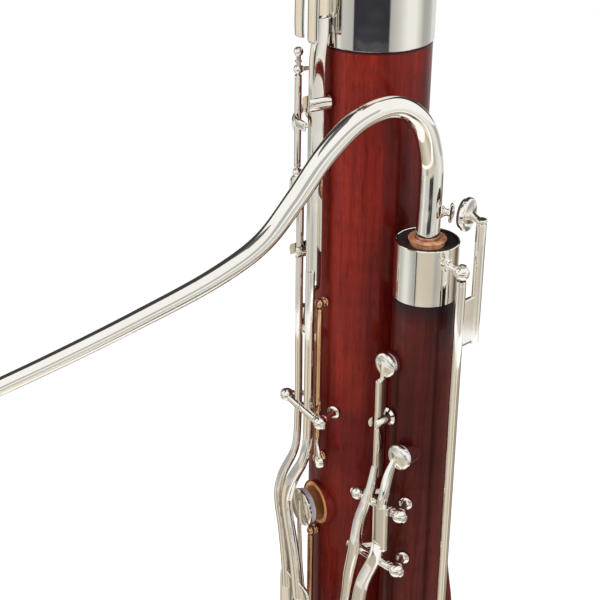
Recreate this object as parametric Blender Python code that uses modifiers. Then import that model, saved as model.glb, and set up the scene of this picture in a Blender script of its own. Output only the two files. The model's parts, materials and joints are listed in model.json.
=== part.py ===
"""Quint bassoon with its crook, five wooden and metal body sections and sprung keywork.

Metres, +Z up. The origin is the centre of the boot cap's bottom face. The bass joint stands at -X, the
wing joint at +X, and the thumb side faces -Y. Heights of the upper keywork are given from the top face
of the wing joint, and distances out from a joint's own axis.
"""

import math

import bmesh
import bpy
from mathutils import Matrix, Vector

MM = 0.001
GAP = 0.3 * MM  # between pieces that touch on the real instrument
SEATED = 0.2 * MM  # left under a pad that rests on its tone hole

# Body
SPACING = 29.4 * MM  # between the axes of the bass and wing joints
BOOT_TOP = 295 * MM
WING_TOP = 600 * MM
BELL_JOIN = 659.3 * MM
BELL_TOP = 885 * MM
BOOT_FLOOR = 27.5 * MM  # lower end of the boot's wood, inside the cap
BOOT_LOW_RADIUS = 16.2 * MM
BOOT_TOP_RADIUS = 17.8 * MM
BASS_LOW_RADIUS = 17.6 * MM
BASS_TOP_RADIUS = 18.7 * MM
WING_TOP_RADIUS = 10.2 * MM
WING_LOW_RADIUS = 11.3 * MM
BASS_BORE_LOW, BASS_BORE_TOP = 8.2 * MM, 10.2 * MM
WING_BORE_TOP, WING_BORE_LOW = 2.4 * MM, 3.8 * MM
BELL_BORE_LOW, BELL_BORE_TOP = 10.4 * MM, 11.6 * MM
BASS_TENON_RADIUS, BASS_TENON_LENGTH = 11.4 * MM, 30 * MM
WING_TENON_RADIUS, WING_TENON_LENGTH = 7.4 * MM, 24 * MM
BELL_TENON_RADIUS, BELL_TENON_LENGTH = 13.6 * MM, 24 * MM
WRAP = 0.9 * MM  # thickness of the tenons' wrapping
FERRULE_WALL = 0.7 * MM
WING_FERRULE_HEIGHT = 19.2 * MM
BELL_FERRULE_RADIUS = 19.1 * MM
BELL_FERRULE_HEIGHT = 26 * MM
BELL_RING_HEIGHT = 11.7 * MM
RECEIVER_BORE = 5.8 * MM
RECEIVER_DEPTH = 24 * MM
FLARE_REACH = 16.6 * MM  # of the wing's flare from the wing's axis
FLARE_TOP, FLARE_BOTTOM = -106, -268  # from the wing top, in mm
FLARE_ANGLE = 66  # degrees from +X
FLARE_EDGE = 1.2 * MM  # taken off its corners
CAP_HEIGHT = 38 * MM
CAP_WALL = 1.0 * MM
CAP_FLOOR = 1.3 * MM
U_TUBE_RADIUS, U_TUBE_BORE = 7.0 * MM, 5.4 * MM
PLATE_THICKNESS = 2.0 * MM
GASKET_THICKNESS = 1.4 * MM
BAND_HEIGHT = 12 * MM

# Crook
CROOK_HEADING = -95  # degrees from +X
CROOK_BASE_RADIUS, CROOK_TIP_RADIUS = 4.08 * MM, 2.55 * MM
CROOK_TIP_BORE = 1.9 * MM
CORK_RADIUS = 6.15 * MM
CORK_COLLAR = 1.5 * MM
VENT_ANGLE, VENT_HEIGHT = 34, 10  # of the vent nipple, degrees from +X and mm above the wing top
VENT_REACH = 7.8 * MM
VENT_HEAD_RADIUS = 3.2 * MM

# Keywork
BASS_FACING = -7  # turn of the bass joint's thumb side about Z, degrees
WING_FACING = 6
KEYS_DROP = 59.3 * MM  # from the bass joint's top down to where its keys' heights start
ROD = 0.7 * MM
TUBE = 1.6 * MM
SLIM_ROD = 0.45 * MM
SLIM_TUBE = 1.15 * MM
BALL = 2.45 * MM
SLIM_BALL = 1.55 * MM
FOOT_RADIUS = 2.3 * MM
FOOT_HEIGHT = 0.9 * MM
PAD_HEIGHT = 1.7 * MM
CUP_HEIGHT = 2.3 * MM
CUP_RIM = 0.35 * MM
LEVER_AXLE_Z, LEVER_AXLE_OUT = -68, 24.5
LEVER_SPLIT = 0.3  # where the two long levers' hinge tubes meet, along the axle
LOW_D_Z, LOW_D_U = -108.0, 1.4
LOW_D_PAD = 6.4 * MM
LOW_D_PIVOT_Z = -210
WHISPER_X, WHISPER_Y = 17.35, -0.9

# Angles between the closed and the open place of each key that stands open, degrees
WHISPER_OPEN = 12.5
LOW_D_OPEN = 1.55
LOW_C_OPEN = 11
LOW_B_OPEN = 5.5
BELL_OPEN = 2.75
E_OPEN = 4
F_OPEN = 4

SILVER = ("silver_plate", (0.86, 0.84, 0.80), 0.12, 1.0)
RED_WOOD = ("red_maple", (0.22, 0.035, 0.025), 0.25, 0.0)
DARK_WOOD = ("dark_maple", (0.12, 0.025, 0.02), 0.28, 0.0)
BLACK = ("black_liner", (0.03, 0.03, 0.032), 0.45, 0.0)
CORK = ("cork", (0.62, 0.33, 0.17), 0.85, 0.0)
PAD_SKIN = ("pad_skin", (0.86, 0.84, 0.80), 0.6, 0.0)
THREAD = ("thread_wrap", (0.35, 0.05, 0.05), 0.8, 0.0)

for old in list(bpy.data.objects):
    bpy.data.objects.remove(old, do_unlink=True)

PARTS = bpy.data.collections.new("quint_bassoon")
CUTTERS = bpy.data.collections.new("cutters")
bpy.context.scene.collection.children.link(PARTS)
bpy.context.scene.collection.children.link(CUTTERS)


def material(kind):
    name, colour, roughness, metallic = kind
    found = bpy.data.materials.get(name)
    if found:
        return found
    made = bpy.data.materials.new(name)
    made.use_nodes = True
    shader = made.node_tree.nodes["Principled BSDF"]
    shader.inputs["Base Color"].default_value = (*colour, 1)
    shader.inputs["Roughness"].default_value = roughness
    shader.inputs["Metallic"].default_value = metallic
    made.diffuse_color = (*colour, 1)
    return made


def empty_at(name, place, turn=0.0):
    made = bpy.data.objects.new(name, None)
    made.location = place
    made.rotation_euler = (0, 0, math.radians(turn))
    made.empty_display_size = 0.01
    PARTS.objects.link(made)
    return made


BASS_FRAME = empty_at("bass_thumb_side", (-SPACING / 2, 0, BELL_JOIN - KEYS_DROP), BASS_FACING)
WING_FRAME = empty_at("wing_thumb_side", (SPACING / 2, 0, WING_TOP), WING_FACING)
WING_AXIS = empty_at("wing_axis", (SPACING / 2, 0, WING_TOP))
BOOT_FRONT = empty_at("boot_thumb_side", (0, 0, 0))
BOOT_BACK = empty_at("boot_finger_side", (0, 0, 0), 180)


def turned_with(frame):
    """The matrix that takes a shape from a joint's thumb side to the scene."""
    return Matrix.Translation(frame.location) @ Matrix.Rotation(frame.rotation_euler.z, 4, "Z")


def at(u, out, z):
    """A place in millimetres on a joint's thumb side: along it, out from the joint's axis, and up."""
    return Vector((u * MM, -out * MM, z * MM))


def from_bmesh(bm, name="piece"):
    mesh = bpy.data.meshes.new(name)
    bm.to_mesh(mesh)
    bm.free()
    made = bpy.data.objects.new(name, mesh)
    CUTTERS.objects.link(made)
    return made


def baked(source):
    """The object's evaluated shape as a plain closed mesh object, in place of the object."""
    bpy.context.view_layer.update()
    mesh = bpy.data.meshes.new_from_object(source.evaluated_get(bpy.context.evaluated_depsgraph_get()))
    bm = bmesh.new()
    bm.from_mesh(mesh)
    bmesh.ops.remove_doubles(bm, verts=bm.verts, dist=1e-6)
    bmesh.ops.recalc_face_normals(bm, faces=bm.faces)
    bm.to_mesh(mesh)
    bm.free()
    made = bpy.data.objects.new(source.name + "_mesh", mesh)
    made.matrix_world = source.matrix_world
    CUTTERS.objects.link(made)
    bpy.data.objects.remove(source, do_unlink=True)
    return made


def toward(direction):
    return Vector(direction).normalized().to_track_quat("Z", "Y").to_matrix().to_4x4()


def rod(start, end, radius, end_radius=None, sides=8):
    """A round bar or cone between two places."""
    start, end = Vector(start), Vector(end)
    bm = bmesh.new()
    bmesh.ops.create_cone(
        bm,
        cap_ends=True,
        segments=sides,
        radius1=radius,
        radius2=radius if end_radius is None else end_radius,
        depth=(end - start).length,
        matrix=Matrix.Translation((start + end) / 2) @ toward(end - start),
    )
    return from_bmesh(bm, "rod")


def ball(centre, radius, around=8, rings=5):
    bm = bmesh.new()
    bmesh.ops.create_uvsphere(
        bm, u_segments=around, v_segments=rings, radius=radius, matrix=Matrix.Translation(centre)
    )
    return from_bmesh(bm, "ball")


def block(centre, size, turn=0.0):
    bm = bmesh.new()
    turning = Matrix.Rotation(math.radians(turn), 4, "Z")
    shape = Matrix.Translation(centre) @ turning @ Matrix.Diagonal((*size, 1))
    bmesh.ops.create_cube(bm, size=1, matrix=shape)
    return from_bmesh(bm, "block")


def turned(profile, centre=(0, 0, 0), axis=(0, 0, 1), sides=24, ring=False):
    """A lathe shape from (radius, height) points that run down the outer side."""
    mesh = bpy.data.meshes.new("profile")
    points = [(radius, 0, height) for radius, height in profile]
    edges = [(i, i + 1) for i in range(len(points) - 1)]
    if ring:
        edges.append((len(points) - 1, 0))
    mesh.from_pydata(points, edges, [])
    made = bpy.data.objects.new("turned", mesh)
    CUTTERS.objects.link(made)
    screw = made.modifiers.new("Screw", "SCREW")
    screw.steps = screw.render_steps = sides
    screw.use_merge_vertices = True
    screw.merge_threshold = 0.000001
    shape = baked(made)
    shape.data.transform(Matrix.Translation(centre) @ toward(axis))
    return shape


def pipe(inner, outer, low, high, centre=(0, 0, 0), axis=(0, 0, 1), sides=24):
    return turned([(outer, high), (outer, low), (inner, low), (inner, high)], centre, axis, sides, ring=True)


def oval(low_radius, high_radius, low, high, sides=28):
    """A cylinder drawn out along X so that it takes in the axes of both joints."""
    bm = bmesh.new()
    bmesh.ops.create_cone(
        bm,
        cap_ends=True,
        segments=sides,
        radius1=low_radius,
        radius2=high_radius,
        depth=high - low,
        matrix=Matrix.Translation((0, 0, (low + high) / 2)) @ Matrix.Rotation(math.pi / sides, 4, "Z"),
    )
    for vert in bm.verts:
        vert.co.x += math.copysign(SPACING / 2, vert.co.x)
    return from_bmesh(bm, "oval")


def curve_object(points, smooth, resolution=3):
    data = bpy.data.curves.new("path", "CURVE")
    data.dimensions = "3D"
    data.resolution_u = resolution
    data.twist_mode = "MINIMUM"
    data.use_fill_caps = True
    if smooth:
        spline = data.splines.new("BEZIER")
        spline.bezier_points.add(len(points) - 1)
        for knot, place in zip(spline.bezier_points, points):
            knot.co = place
            knot.handle_left_type = knot.handle_right_type = "AUTO"
    else:
        spline = data.splines.new("POLY")
        spline.points.add(len(points) - 1)
        for knot, place in zip(spline.points, points):
            knot.co = (*place, 1)
    made = bpy.data.objects.new("path", data)
    CUTTERS.objects.link(made)
    return made


def wire(points, radius, radii=None, smooth=True, resolution=3, detail=2):
    """A round wire or tube, whose thickness may follow radii."""
    made = curve_object(points, smooth, resolution)
    made.data.bevel_depth = radius
    made.data.bevel_resolution = detail
    knots = made.data.splines[0].bezier_points if smooth else made.data.splines[0].points
    for knot, share in zip(knots, radii or [1] * len(points)):
        knot.radius = share
    return baked(made)


def bar(points, width, depth, side=(1, 0, 0), smooth=True, resolution=2):
    """A flat forged bar whose width keeps to the given side along the whole path.

    A point may end in a fourth number, the share of the full section at that place.
    """
    places = [at(*point[:3]) for point in points]
    data = bpy.data.curves.new("section", "CURVE")
    data.dimensions = "2D"
    half_w, half_d = width * MM / 2, depth * MM / 2
    corners = [(half_w, -half_d), (half_w, half_d), (-half_w, half_d), (-half_w, -half_d)]
    spline = data.splines.new("POLY")
    spline.points.add(len(corners) - 1)
    spline.use_cyclic_u = True
    for knot, (x, y) in zip(spline.points, corners):
        knot.co = (x, y, 0, 1)
    section = bpy.data.objects.new("section", data)
    CUTTERS.objects.link(section)
    made = curve_object(places, smooth, resolution)
    made.data.bevel_mode = "OBJECT"
    made.data.bevel_object = section
    heading = (places[1] - places[0]).normalized()
    drawn = heading.to_track_quat("-Z", "Y") @ Vector((1, 0, 0))
    wanted = Vector(side) - heading * heading.dot(Vector(side))
    tilt = math.atan2(heading.dot(drawn.cross(wanted)), drawn.dot(wanted))
    knots = made.data.splines[0].bezier_points if smooth else made.data.splines[0].points
    for knot, point in zip(knots, points):
        knot.tilt = tilt
        knot.radius = point[3] if len(point) > 3 else 1
    shape = baked(made)
    bpy.data.objects.remove(section, do_unlink=True)
    return shape


def arm(points, height, thickness, smooth=True):
    """A bar that runs across, its height upright."""
    return bar(points, height, thickness, (0, 0, 1), smooth)


def touch_plate(u, out, z, width, height, thickness=1.3, lean=0.0):
    """A rounded finger plate lying flat against the thumb."""
    data = bpy.data.curves.new("plate", "CURVE")
    data.dimensions = "2D"
    data.fill_mode = "BOTH"
    data.extrude = thickness * MM / 2
    spline = data.splines.new("POLY")
    count = 12
    spline.points.add(count - 1)
    spline.use_cyclic_u = True
    for i, knot in enumerate(spline.points):
        angle = 2 * math.pi * (i + 0.5) / count
        c, s = math.cos(angle), math.sin(angle)
        x = math.copysign(abs(c) ** 0.6, c) * width * MM / 2
        y = math.copysign(abs(s) ** 0.6, s) * height * MM / 2
        knot.co = (x, y, 0, 1)
    made = bpy.data.objects.new("plate", data)
    CUTTERS.objects.link(made)
    shape = baked(made)
    turn = Matrix.Rotation(math.radians(90), 4, "X")
    leaning = Matrix.Rotation(math.radians(lean), 4, "X")
    shape.data.transform(Matrix.Translation(at(u, out, z)) @ leaning @ turn)
    return shape


def removed(*objects):
    for thing in objects:
        bpy.data.objects.remove(thing, do_unlink=True)


def combined(base, others, operation):
    for other in others:
        step = base.modifiers.new(operation.title(), "BOOLEAN")
        step.operation = operation
        step.solver = "EXACT"
        step.object = other
        base = baked(base)
        removed(other)
    return base


def joined(base, *others):
    return combined(base, others, "UNION")


def cut(base, *tools):
    return combined(base, tools, "DIFFERENCE")


def swung(thing, pivot, axis, degrees):
    """Turns a shape about an axis through pivot."""
    pivot = Vector(pivot)
    turn = Matrix.Rotation(math.radians(degrees), 4, Vector(axis))
    thing.data.transform(Matrix.Translation(pivot) @ turn @ Matrix.Translation(-pivot))
    return thing


def placed(thing, name, kind, frame=None, pivot=(0, 0, 0)):
    """Names a finished piece, gives it its material and puts its origin at pivot in its frame."""
    thing.name = name
    thing.data.name = name
    thing.data.materials.clear()
    thing.data.materials.append(material(kind))
    thing.data.transform(Matrix.Translation(-Vector(pivot)))
    thing.location = pivot
    thing.parent = frame
    thing.data.shade_smooth()
    thing.data.set_sharp_from_angle(angle=math.radians(38))
    CUTTERS.objects.unlink(thing)
    PARTS.objects.link(thing)
    return thing


def live_cut(target, name, tool, operation="DIFFERENCE"):
    """Keeps a tool as a hidden wire object whose Boolean stays on the target."""
    tool.name = name
    tool.hide_render = True
    tool.display_type = "WIRE"
    step = target.modifiers.new(name, "BOOLEAN")
    step.operation = operation
    step.solver = "EXACT"
    step.object = tool


# Places on the joints

def bass_radius(z):
    """Outer radius of the bass joint at a height on its thumb side, in millimetres."""
    share = (BELL_JOIN - KEYS_DROP + z * MM - BOOT_TOP) / (BELL_JOIN - BOOT_TOP)
    return (BASS_LOW_RADIUS + (BASS_TOP_RADIUS - BASS_LOW_RADIUS) * share) / MM


def wing_radius(z):
    share = -z * MM / (WING_TOP - BOOT_TOP)
    return (WING_TOP_RADIUS + (WING_LOW_RADIUS - WING_TOP_RADIUS) * share) / MM


BELL_PROFILE = (  # (share of the height from the lower ferrule to the top ring, radius), wood
    (0.0, 17.9),
    (0.16, 17.2),
    (0.48, 16.4),
    (0.745, 16.2),
    (0.905, 17.2),
    (1.0, 19.4),
)
BELL_WOOD_LOW = BELL_JOIN + BELL_FERRULE_HEIGHT
BELL_WOOD_HIGH = BELL_TOP - BELL_RING_HEIGHT


def bell_radius(z):
    height = BELL_JOIN - KEYS_DROP + z * MM - BELL_WOOD_LOW
    share = height / (BELL_WOOD_HIGH - BELL_WOOD_LOW)
    for (low, start), (high, end) in zip(BELL_PROFILE, BELL_PROFILE[1:]):
        if share <= high:
            return start + (end - start) * max(share - low, 0) / (high - low)
    return BELL_PROFILE[-1][1]


def boot_radius(z):
    share = (z * MM - BOOT_FLOOR) / (BOOT_TOP - BOOT_FLOOR)
    return (BOOT_LOW_RADIUS + (BOOT_TOP_RADIUS - BOOT_LOW_RADIUS) * share) / MM


def round_at(angle, reach, z):
    """A place at a distance from a joint's axis, angle degrees round from straight out."""
    turn = math.radians(angle)
    return at(reach * math.sin(turn), reach * math.cos(turn), z)


# Repeated pieces of keywork

def cup(centre, axis, radius, pad_depth):
    """A shallow domed pad cup, open towards the tone hole; centre is the middle of its open rim."""
    inner = radius - CUP_RIM
    profile = [
        (0, CUP_HEIGHT),
        (radius * 0.7, CUP_HEIGHT * 0.85),
        (radius, CUP_HEIGHT * 0.4),
        (radius, 0),
        (inner, 0),
        (inner, pad_depth),
        (0, pad_depth),
    ]
    return turned(profile, centre, axis, sides=12)


def pad_and_cup(seat, axis, radius, sides=12):
    """A pad held in its cup, resting on the seat. Returns (pad, cup, the cup's top)."""
    axis = Vector(axis).normalized()
    pad_depth = PAD_HEIGHT * 0.45
    low = Vector(seat) + axis * SEATED
    pad = rod(low, low + axis * PAD_HEIGHT, radius, sides=sides)
    rim = low + axis * (PAD_HEIGHT - pad_depth + GAP)
    return pad, cup(rim, axis, radius + GAP + CUP_RIM, pad_depth), rim + axis * CUP_HEIGHT


def post(centre, foot, radius=BALL, slim=False):
    """A turned post: a ball on a waisted neck with a round foot that rests on the wood."""
    centre, foot = Vector(centre), Vector(foot)
    up = (centre - foot).normalized()
    foot_radius = FOOT_RADIUS * (0.75 if slim else 1)
    waist = radius * 0.45
    pieces = [
        rod(foot, foot + up * FOOT_HEIGHT, foot_radius, foot_radius * 0.9),
        rod(foot + up * FOOT_HEIGHT * 0.5, centre, foot_radius * 0.55, waist, sides=6),
    ]
    return joined(ball(centre, radius), *pieces)


def radial_post(u, out, z, surface, radius=BALL, slim=False):
    """A post whose foot lies on a round body of the given surface radius."""
    reach = math.hypot(u, out)
    foot = (surface + 0.3) / reach
    return post(at(u, out, z), at(u * foot, out * foot, z), radius, slim)


def axle(name, frame, start, end, surface, slim=False, pivot=None):
    """A pivot rod between two ball posts, start and end in millimetres."""
    radius = SLIM_BALL if slim else BALL
    posts = [radial_post(*place, surface(place[2]), radius, slim) for place in (start, end)]
    shape = joined(rod(at(*start), at(*end), SLIM_ROD if slim else ROD), *posts)
    return placed(shape, name, SILVER, frame, at(*start))


def key(name, frame, pivot, axis_ends, pieces, slim=False):
    """A key: its arms joined to a hinge tube that is bored for the rod."""
    start, end = (at(*place) for place in axis_ends)
    tube = SLIM_TUBE if slim else TUBE
    bore = (SLIM_ROD if slim else ROD) + GAP
    reach = (end - start).normalized() * MM
    shape = joined(rod(start, end, tube, sides=10), *pieces)
    shape = cut(shape, rod(start - reach, end + reach, bore))
    return placed(shape, name, SILVER, frame, pivot)


def between_balls(start, end, radius):
    """The ends of a hinge tube that runs between two ball posts."""
    a, b = Vector(start), Vector(end)
    step = (b - a).normalized() * ((radius + GAP) / MM)
    return tuple(a + step), tuple(b - step)


def guide(name, frame, u, z, surface, width, outer_edge, inner_edge):
    """A slotted post that keeps a long lever in line."""
    radius = (width / 2 + 1.15) * MM
    foot = at(u, surface + 0.4, z)
    top = at(u, outer_edge + 1.3, z)
    shape = joined(
        rod(foot, top, radius, sides=12),
        rod(foot, at(u, surface + 1.3, z), radius * 1.45, radius * 1.35, sides=12),
    )
    slot_bottom = inner_edge - 0.5
    slot_top = outer_edge + 3
    size = ((width + 0.6) * MM, (slot_top - slot_bottom) * MM, radius * 3)
    shape = cut(shape, block(at(u, (slot_top + slot_bottom) / 2, z), size))
    return placed(shape, name, SILVER, frame, foot)


# Body sections

def make_boot():
    wood = oval(BOOT_LOW_RADIUS, BOOT_TOP_RADIUS, BOOT_FLOOR, BOOT_TOP)
    bass, wing = -SPACING / 2, SPACING / 2
    bores = [
        rod((bass, 0, BOOT_FLOOR - MM), (bass, 0, BOOT_TOP), U_TUBE_BORE + 0.4 * MM, BASS_BORE_LOW, 20),
        rod((wing, 0, BOOT_FLOOR - MM), (wing, 0, BOOT_TOP), U_TUBE_BORE, WING_BORE_LOW, 16),
        rod(
            (bass, 0, BOOT_TOP - BASS_TENON_LENGTH - GAP),
            (bass, 0, BOOT_TOP + MM),
            BASS_TENON_RADIUS + WRAP + GAP,
            sides=28,
        ),
        rod(
            (wing, 0, BOOT_TOP - WING_TENON_LENGTH - GAP),
            (wing, 0, BOOT_TOP + MM),
            WING_TENON_RADIUS + WRAP + GAP,
            sides=24,
        ),
    ]
    wood = cut(wood, *bores)
    seats = [rod(at(E_HOLE_U, 14, E_HOLE_Z), at(E_HOLE_U, BOOT_SEAT, E_HOLE_Z), 5.6 * MM, sides=14)]
    back = rod(at(F_HOLE_U, 14, F_HOLE_Z), at(F_HOLE_U, BOOT_SEAT, F_HOLE_Z), 5.6 * MM, sides=14)
    back.data.transform(Matrix.Rotation(math.pi, 4, "Z"))
    wood = joined(wood, *seats, back)
    placed(wood, "boot_joint", DARK_WOOD, pivot=(0, 0, BOOT_FLOOR))
    holes = {
        "e_tone_hole": (E_HOLE_U, E_HOLE_Z, 3.6, 0),
        "f_tone_hole": (F_HOLE_U, F_HOLE_Z, 3.6, 180),
        "thumb_tone_hole": (12, 228, 2.2, 0),
        "first_finger_hole": (-13, 238, 2.4, 180),
        "second_finger_hole": (-13, 208, 2.4, 180),
    }
    for name, (u, z, radius, turn) in holes.items():
        tool = rod(at(u, 30, z), at(u, 2, z), radius * MM, sides=10)
        tool.data.transform(Matrix.Rotation(math.radians(turn), 4, "Z"))
        tool.data.transform(Matrix.Translation(-wood.location))
        tool.location = wood.location
        live_cut(wood, name, tool)


def make_boot_metal():
    low = BOOT_LOW_RADIUS + GAP
    high_z = CAP_HEIGHT
    high = boot_radius(high_z / MM) * MM + GAP
    shell = oval(low + CAP_WALL - 0.3 * MM, high + CAP_WALL, 0, high_z)
    inside = oval(low, high, CAP_FLOOR, high_z + 0.01 * MM)
    placed(cut(shell, inside), "boot_cap", SILVER)
    band_low = BOOT_TOP - BAND_HEIGHT
    inner = boot_radius(band_low / MM) * MM + GAP, BOOT_TOP_RADIUS + GAP
    band = oval(inner[0] + CAP_WALL, inner[1] + CAP_WALL, band_low, BOOT_TOP + 0.4 * MM)
    hollow = oval(inner[0] - 0.1 * MM, inner[1] + 0.1 * MM, band_low - MM, BOOT_TOP + MM)
    placed(cut(band, hollow), "boot_top_band", SILVER, pivot=(0, 0, band_low))

    plate_top = BOOT_FLOOR - GAP - GASKET_THICKNESS - GAP
    plate_low = plate_top - PLATE_THICKNESS
    edge = BOOT_LOW_RADIUS - 1.6 * MM
    arc = [Vector((-SPACING / 2, 0, plate_top - 0.2 * MM))]
    arc += [
        Vector((-SPACING / 2 * math.cos(t), 0, plate_low - SPACING / 2 * math.sin(t)))
        for t in (math.pi * i / 12 for i in range(13))
    ]
    arc.append(Vector((SPACING / 2, 0, plate_top - 0.2 * MM)))
    bend = wire(arc, U_TUBE_RADIUS, smooth=False, detail=3)
    rise = Vector((0, 0, MM))
    bore = wire([arc[0] + rise, *arc[1:-1], arc[-1] + rise], U_TUBE_BORE, smooth=False)
    tube = cut(joined(oval(edge, edge, plate_low, plate_top), bend), bore)
    placed(tube, "boot_u_tube", SILVER, pivot=(0, 0, plate_top))
    low, high = plate_top + GAP, plate_top + GAP + GASKET_THICKNESS
    openings = [
        rod((x, 0, low - MM), (x, 0, high + MM), U_TUBE_BORE + 0.6 * MM, sides=16)
        for x in (-SPACING / 2, SPACING / 2)
    ]
    placed(cut(oval(edge, edge, low, high), *openings), "boot_gasket", CORK, pivot=(0, 0, low))


def tenon_wrap(name, x, low, high, core, kind):
    inner = core + GAP * 0.4
    placed(pipe(inner, core + WRAP, low, high, (x, 0, 0), sides=28), name, kind, pivot=(x, 0, low))


def make_bass():
    x = -SPACING / 2
    low, shoulder, top = BOOT_TOP - BASS_TENON_LENGTH, BOOT_TOP + 0.8 * MM, BELL_JOIN - GAP
    profile = [
        (BELL_TENON_RADIUS, top + BELL_TENON_LENGTH),
        (BELL_TENON_RADIUS, top),
        (BASS_TOP_RADIUS, top),
        (BASS_LOW_RADIUS, shoulder),
        (BASS_TENON_RADIUS, shoulder),
        (BASS_TENON_RADIUS, low),
        (BASS_BORE_LOW, low),
        (BASS_BORE_TOP, top + BELL_TENON_LENGTH),
    ]
    wood = turned(profile, (x, 0, 0), sides=28, ring=True)
    frame = turned_with(BASS_FRAME)
    holes = (  # name, angle round from straight out, height, seat, radii of the seat and of the hole
        ("low_b_tone_hole", LOW_B_ANGLE, LOW_B_Z, LOW_B_SEAT, 4.9, 3.1),
        ("c_sharp_tone_hole", C_SHARP_ANGLE, C_SHARP_Z, C_SHARP_SEAT, 4.2, 2.5),
        ("low_c_tone_hole", LOW_C_ANGLE, LOW_C_Z, LOW_C_SEAT, 5.3, 3.5),
    )
    seats = [rod(at(E_FLAT_U, 14, E_FLAT_Z), at(E_FLAT_U, E_FLAT_SEAT, E_FLAT_Z), 4.9 * MM, sides=14)]
    tools = {
        "e_flat_tone_hole": rod(at(E_FLAT_U, 30, E_FLAT_Z), at(E_FLAT_U, 2, E_FLAT_Z), 2.8 * MM, sides=10),
        "low_d_tone_hole": rod(at(LOW_D_U, 30, LOW_D_Z), at(LOW_D_U, 2, LOW_D_Z), 4.8 * MM, sides=14),
    }
    for name, angle, z, seat, seat_radius, radius in holes:
        seats.append(rod(round_at(angle, 14, z), round_at(angle, seat, z), seat_radius * MM, sides=14))
        tools[name] = rod(round_at(angle, 30, z), round_at(angle, 2, z), radius * MM, sides=10)
    floor = at(LOW_D_U, LOW_D_FLOOR, LOW_D_Z)
    tools["low_d_ring_seat"] = rod(at(LOW_D_U, 30, LOW_D_Z), floor, LOW_D_RING + GAP, sides=20)
    for seat in seats:
        seat.data.transform(frame)
    wood = joined(wood, *seats)
    placed(wood, "bass_joint", RED_WOOD, pivot=(x, 0, BOOT_TOP))
    for name, tool in tools.items():
        tool.data.transform(Matrix.Translation(-wood.location) @ frame)
        tool.location = wood.location
        live_cut(wood, name, tool)
    tenon_wrap("bass_tenon_wrap", x, low + 4 * MM, BOOT_TOP - 3 * MM, BASS_TENON_RADIUS, THREAD)
    high = top + BELL_TENON_LENGTH - 3 * MM
    tenon_wrap("bell_tenon_wrap", x, top + 3 * MM, high, BELL_TENON_RADIUS, THREAD)
    inner = LOW_D_RING - LOW_D_RING_WIDTH
    centre = at(LOW_D_U, 0, LOW_D_Z)
    ring = pipe(inner, LOW_D_RING, LOW_D_FLOOR * MM + GAP, LOW_D_SEAT * MM, centre, (0, -1, 0), sides=20)
    placed(ring, "low_d_seat_ring", SILVER, BASS_FRAME, floor)


def make_wing():
    x = SPACING / 2
    low, shoulder = BOOT_TOP - WING_TENON_LENGTH, BOOT_TOP + 0.8 * MM
    step = WING_TOP - WING_FERRULE_HEIGHT - GAP
    liner_low = WING_TOP - 12 * MM
    core = WING_TOP_RADIUS + 0.3 * MM - FERRULE_WALL - GAP
    profile = [
        (0, liner_low - GAP),
        (core, liner_low - GAP),
        (core, step),
        (WING_TOP_RADIUS, step),
        (WING_LOW_RADIUS, shoulder),
        (WING_TENON_RADIUS, shoulder),
        (WING_TENON_RADIUS, low),
        (0, low),
    ]
    wood = turned(profile, (x, 0, 0), sides=28)
    frame = turned_with(WING_FRAME)
    seats = [
        rod(at(HIGH_C_U, 7, HIGH_C_Z), at(HIGH_C_U, WING_SEAT, HIGH_C_Z), 3.7 * MM, sides=14),
        rod(at(HIGH_A_U, 7, HIGH_A_Z), at(HIGH_A_U, WING_SEAT, HIGH_A_Z), 3.9 * MM, sides=14),
    ]
    for seat in seats:
        seat.data.transform(frame)
    wood = joined(wood, wing_flare(x), *seats)
    bores = [
        rod((x, 0, low - MM), (x, 0, WING_TOP), WING_BORE_LOW, WING_BORE_TOP, 14),
        rod((x, 0, WING_TOP - RECEIVER_DEPTH), (x, 0, WING_TOP), RECEIVER_BORE, sides=24),
    ]
    wood = cut(wood, *bores)
    tools = {
        "high_c_vent": rod(at(HIGH_C_U, 30, HIGH_C_Z), at(HIGH_C_U, 1, HIGH_C_Z), 1.3 * MM),
        "high_a_vent": rod(at(HIGH_A_U, 30, HIGH_A_Z), at(HIGH_A_U, 1, HIGH_A_Z), 1.5 * MM),
    }
    for tool in tools.values():
        tool.data.transform(frame)
    out = Vector((math.cos(math.radians(FLARE_ANGLE)), math.sin(math.radians(FLARE_ANGLE)), 0))
    for i, height in enumerate((-138, -180, -222)):
        mouth = Vector((x, 0, WING_TOP + height * MM))
        slant = Vector((0, 0, (i - 1) * 8 * MM))
        end = mouth + out * 0.001 - slant
        tools[f"wing_finger_hole_{i + 1}"] = rod(mouth + out * 0.03, end, 2.1 * MM, sides=10)
    wood = cut(wood, *tools.values())
    placed(wood, "wing_joint", DARK_WOOD, pivot=(x, 0, BOOT_TOP))
    tenon_wrap("wing_tenon_wrap", x, low + 4 * MM, BOOT_TOP - 3 * MM, WING_TENON_RADIUS, THREAD)
    liner = [
        (core, WING_TOP - 0.4 * MM),
        (core, liner_low),
        (RECEIVER_BORE, liner_low),
        (RECEIVER_BORE, WING_TOP - 1.0 * MM),
    ]
    liner = turned(liner, (x, 0, 0), sides=28, ring=True)
    placed(liner, "wing_receiver_liner", BLACK, pivot=(x, 0, liner_low))
    inner = core + GAP
    outer = inner + FERRULE_WALL
    ferrule = pipe(inner, outer, WING_TOP - WING_FERRULE_HEIGHT, WING_TOP, (x, 0, 0), sides=28)
    reach = Vector((WHISPER_X, WHISPER_Y, 0)).normalized()
    top_ball = Vector((x + WHISPER_X * MM, WHISPER_Y * MM, WING_TOP + WHISPER_TOP * MM))
    foot = Vector((x, 0, top_ball.z)) + reach * (inner + FERRULE_WALL * 0.5)
    holder = post(top_ball, foot)
    placed(joined(ferrule, holder), "wing_top_ferrule", SILVER, pivot=(x, 0, WING_TOP - WING_FERRULE_HEIGHT))


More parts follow.
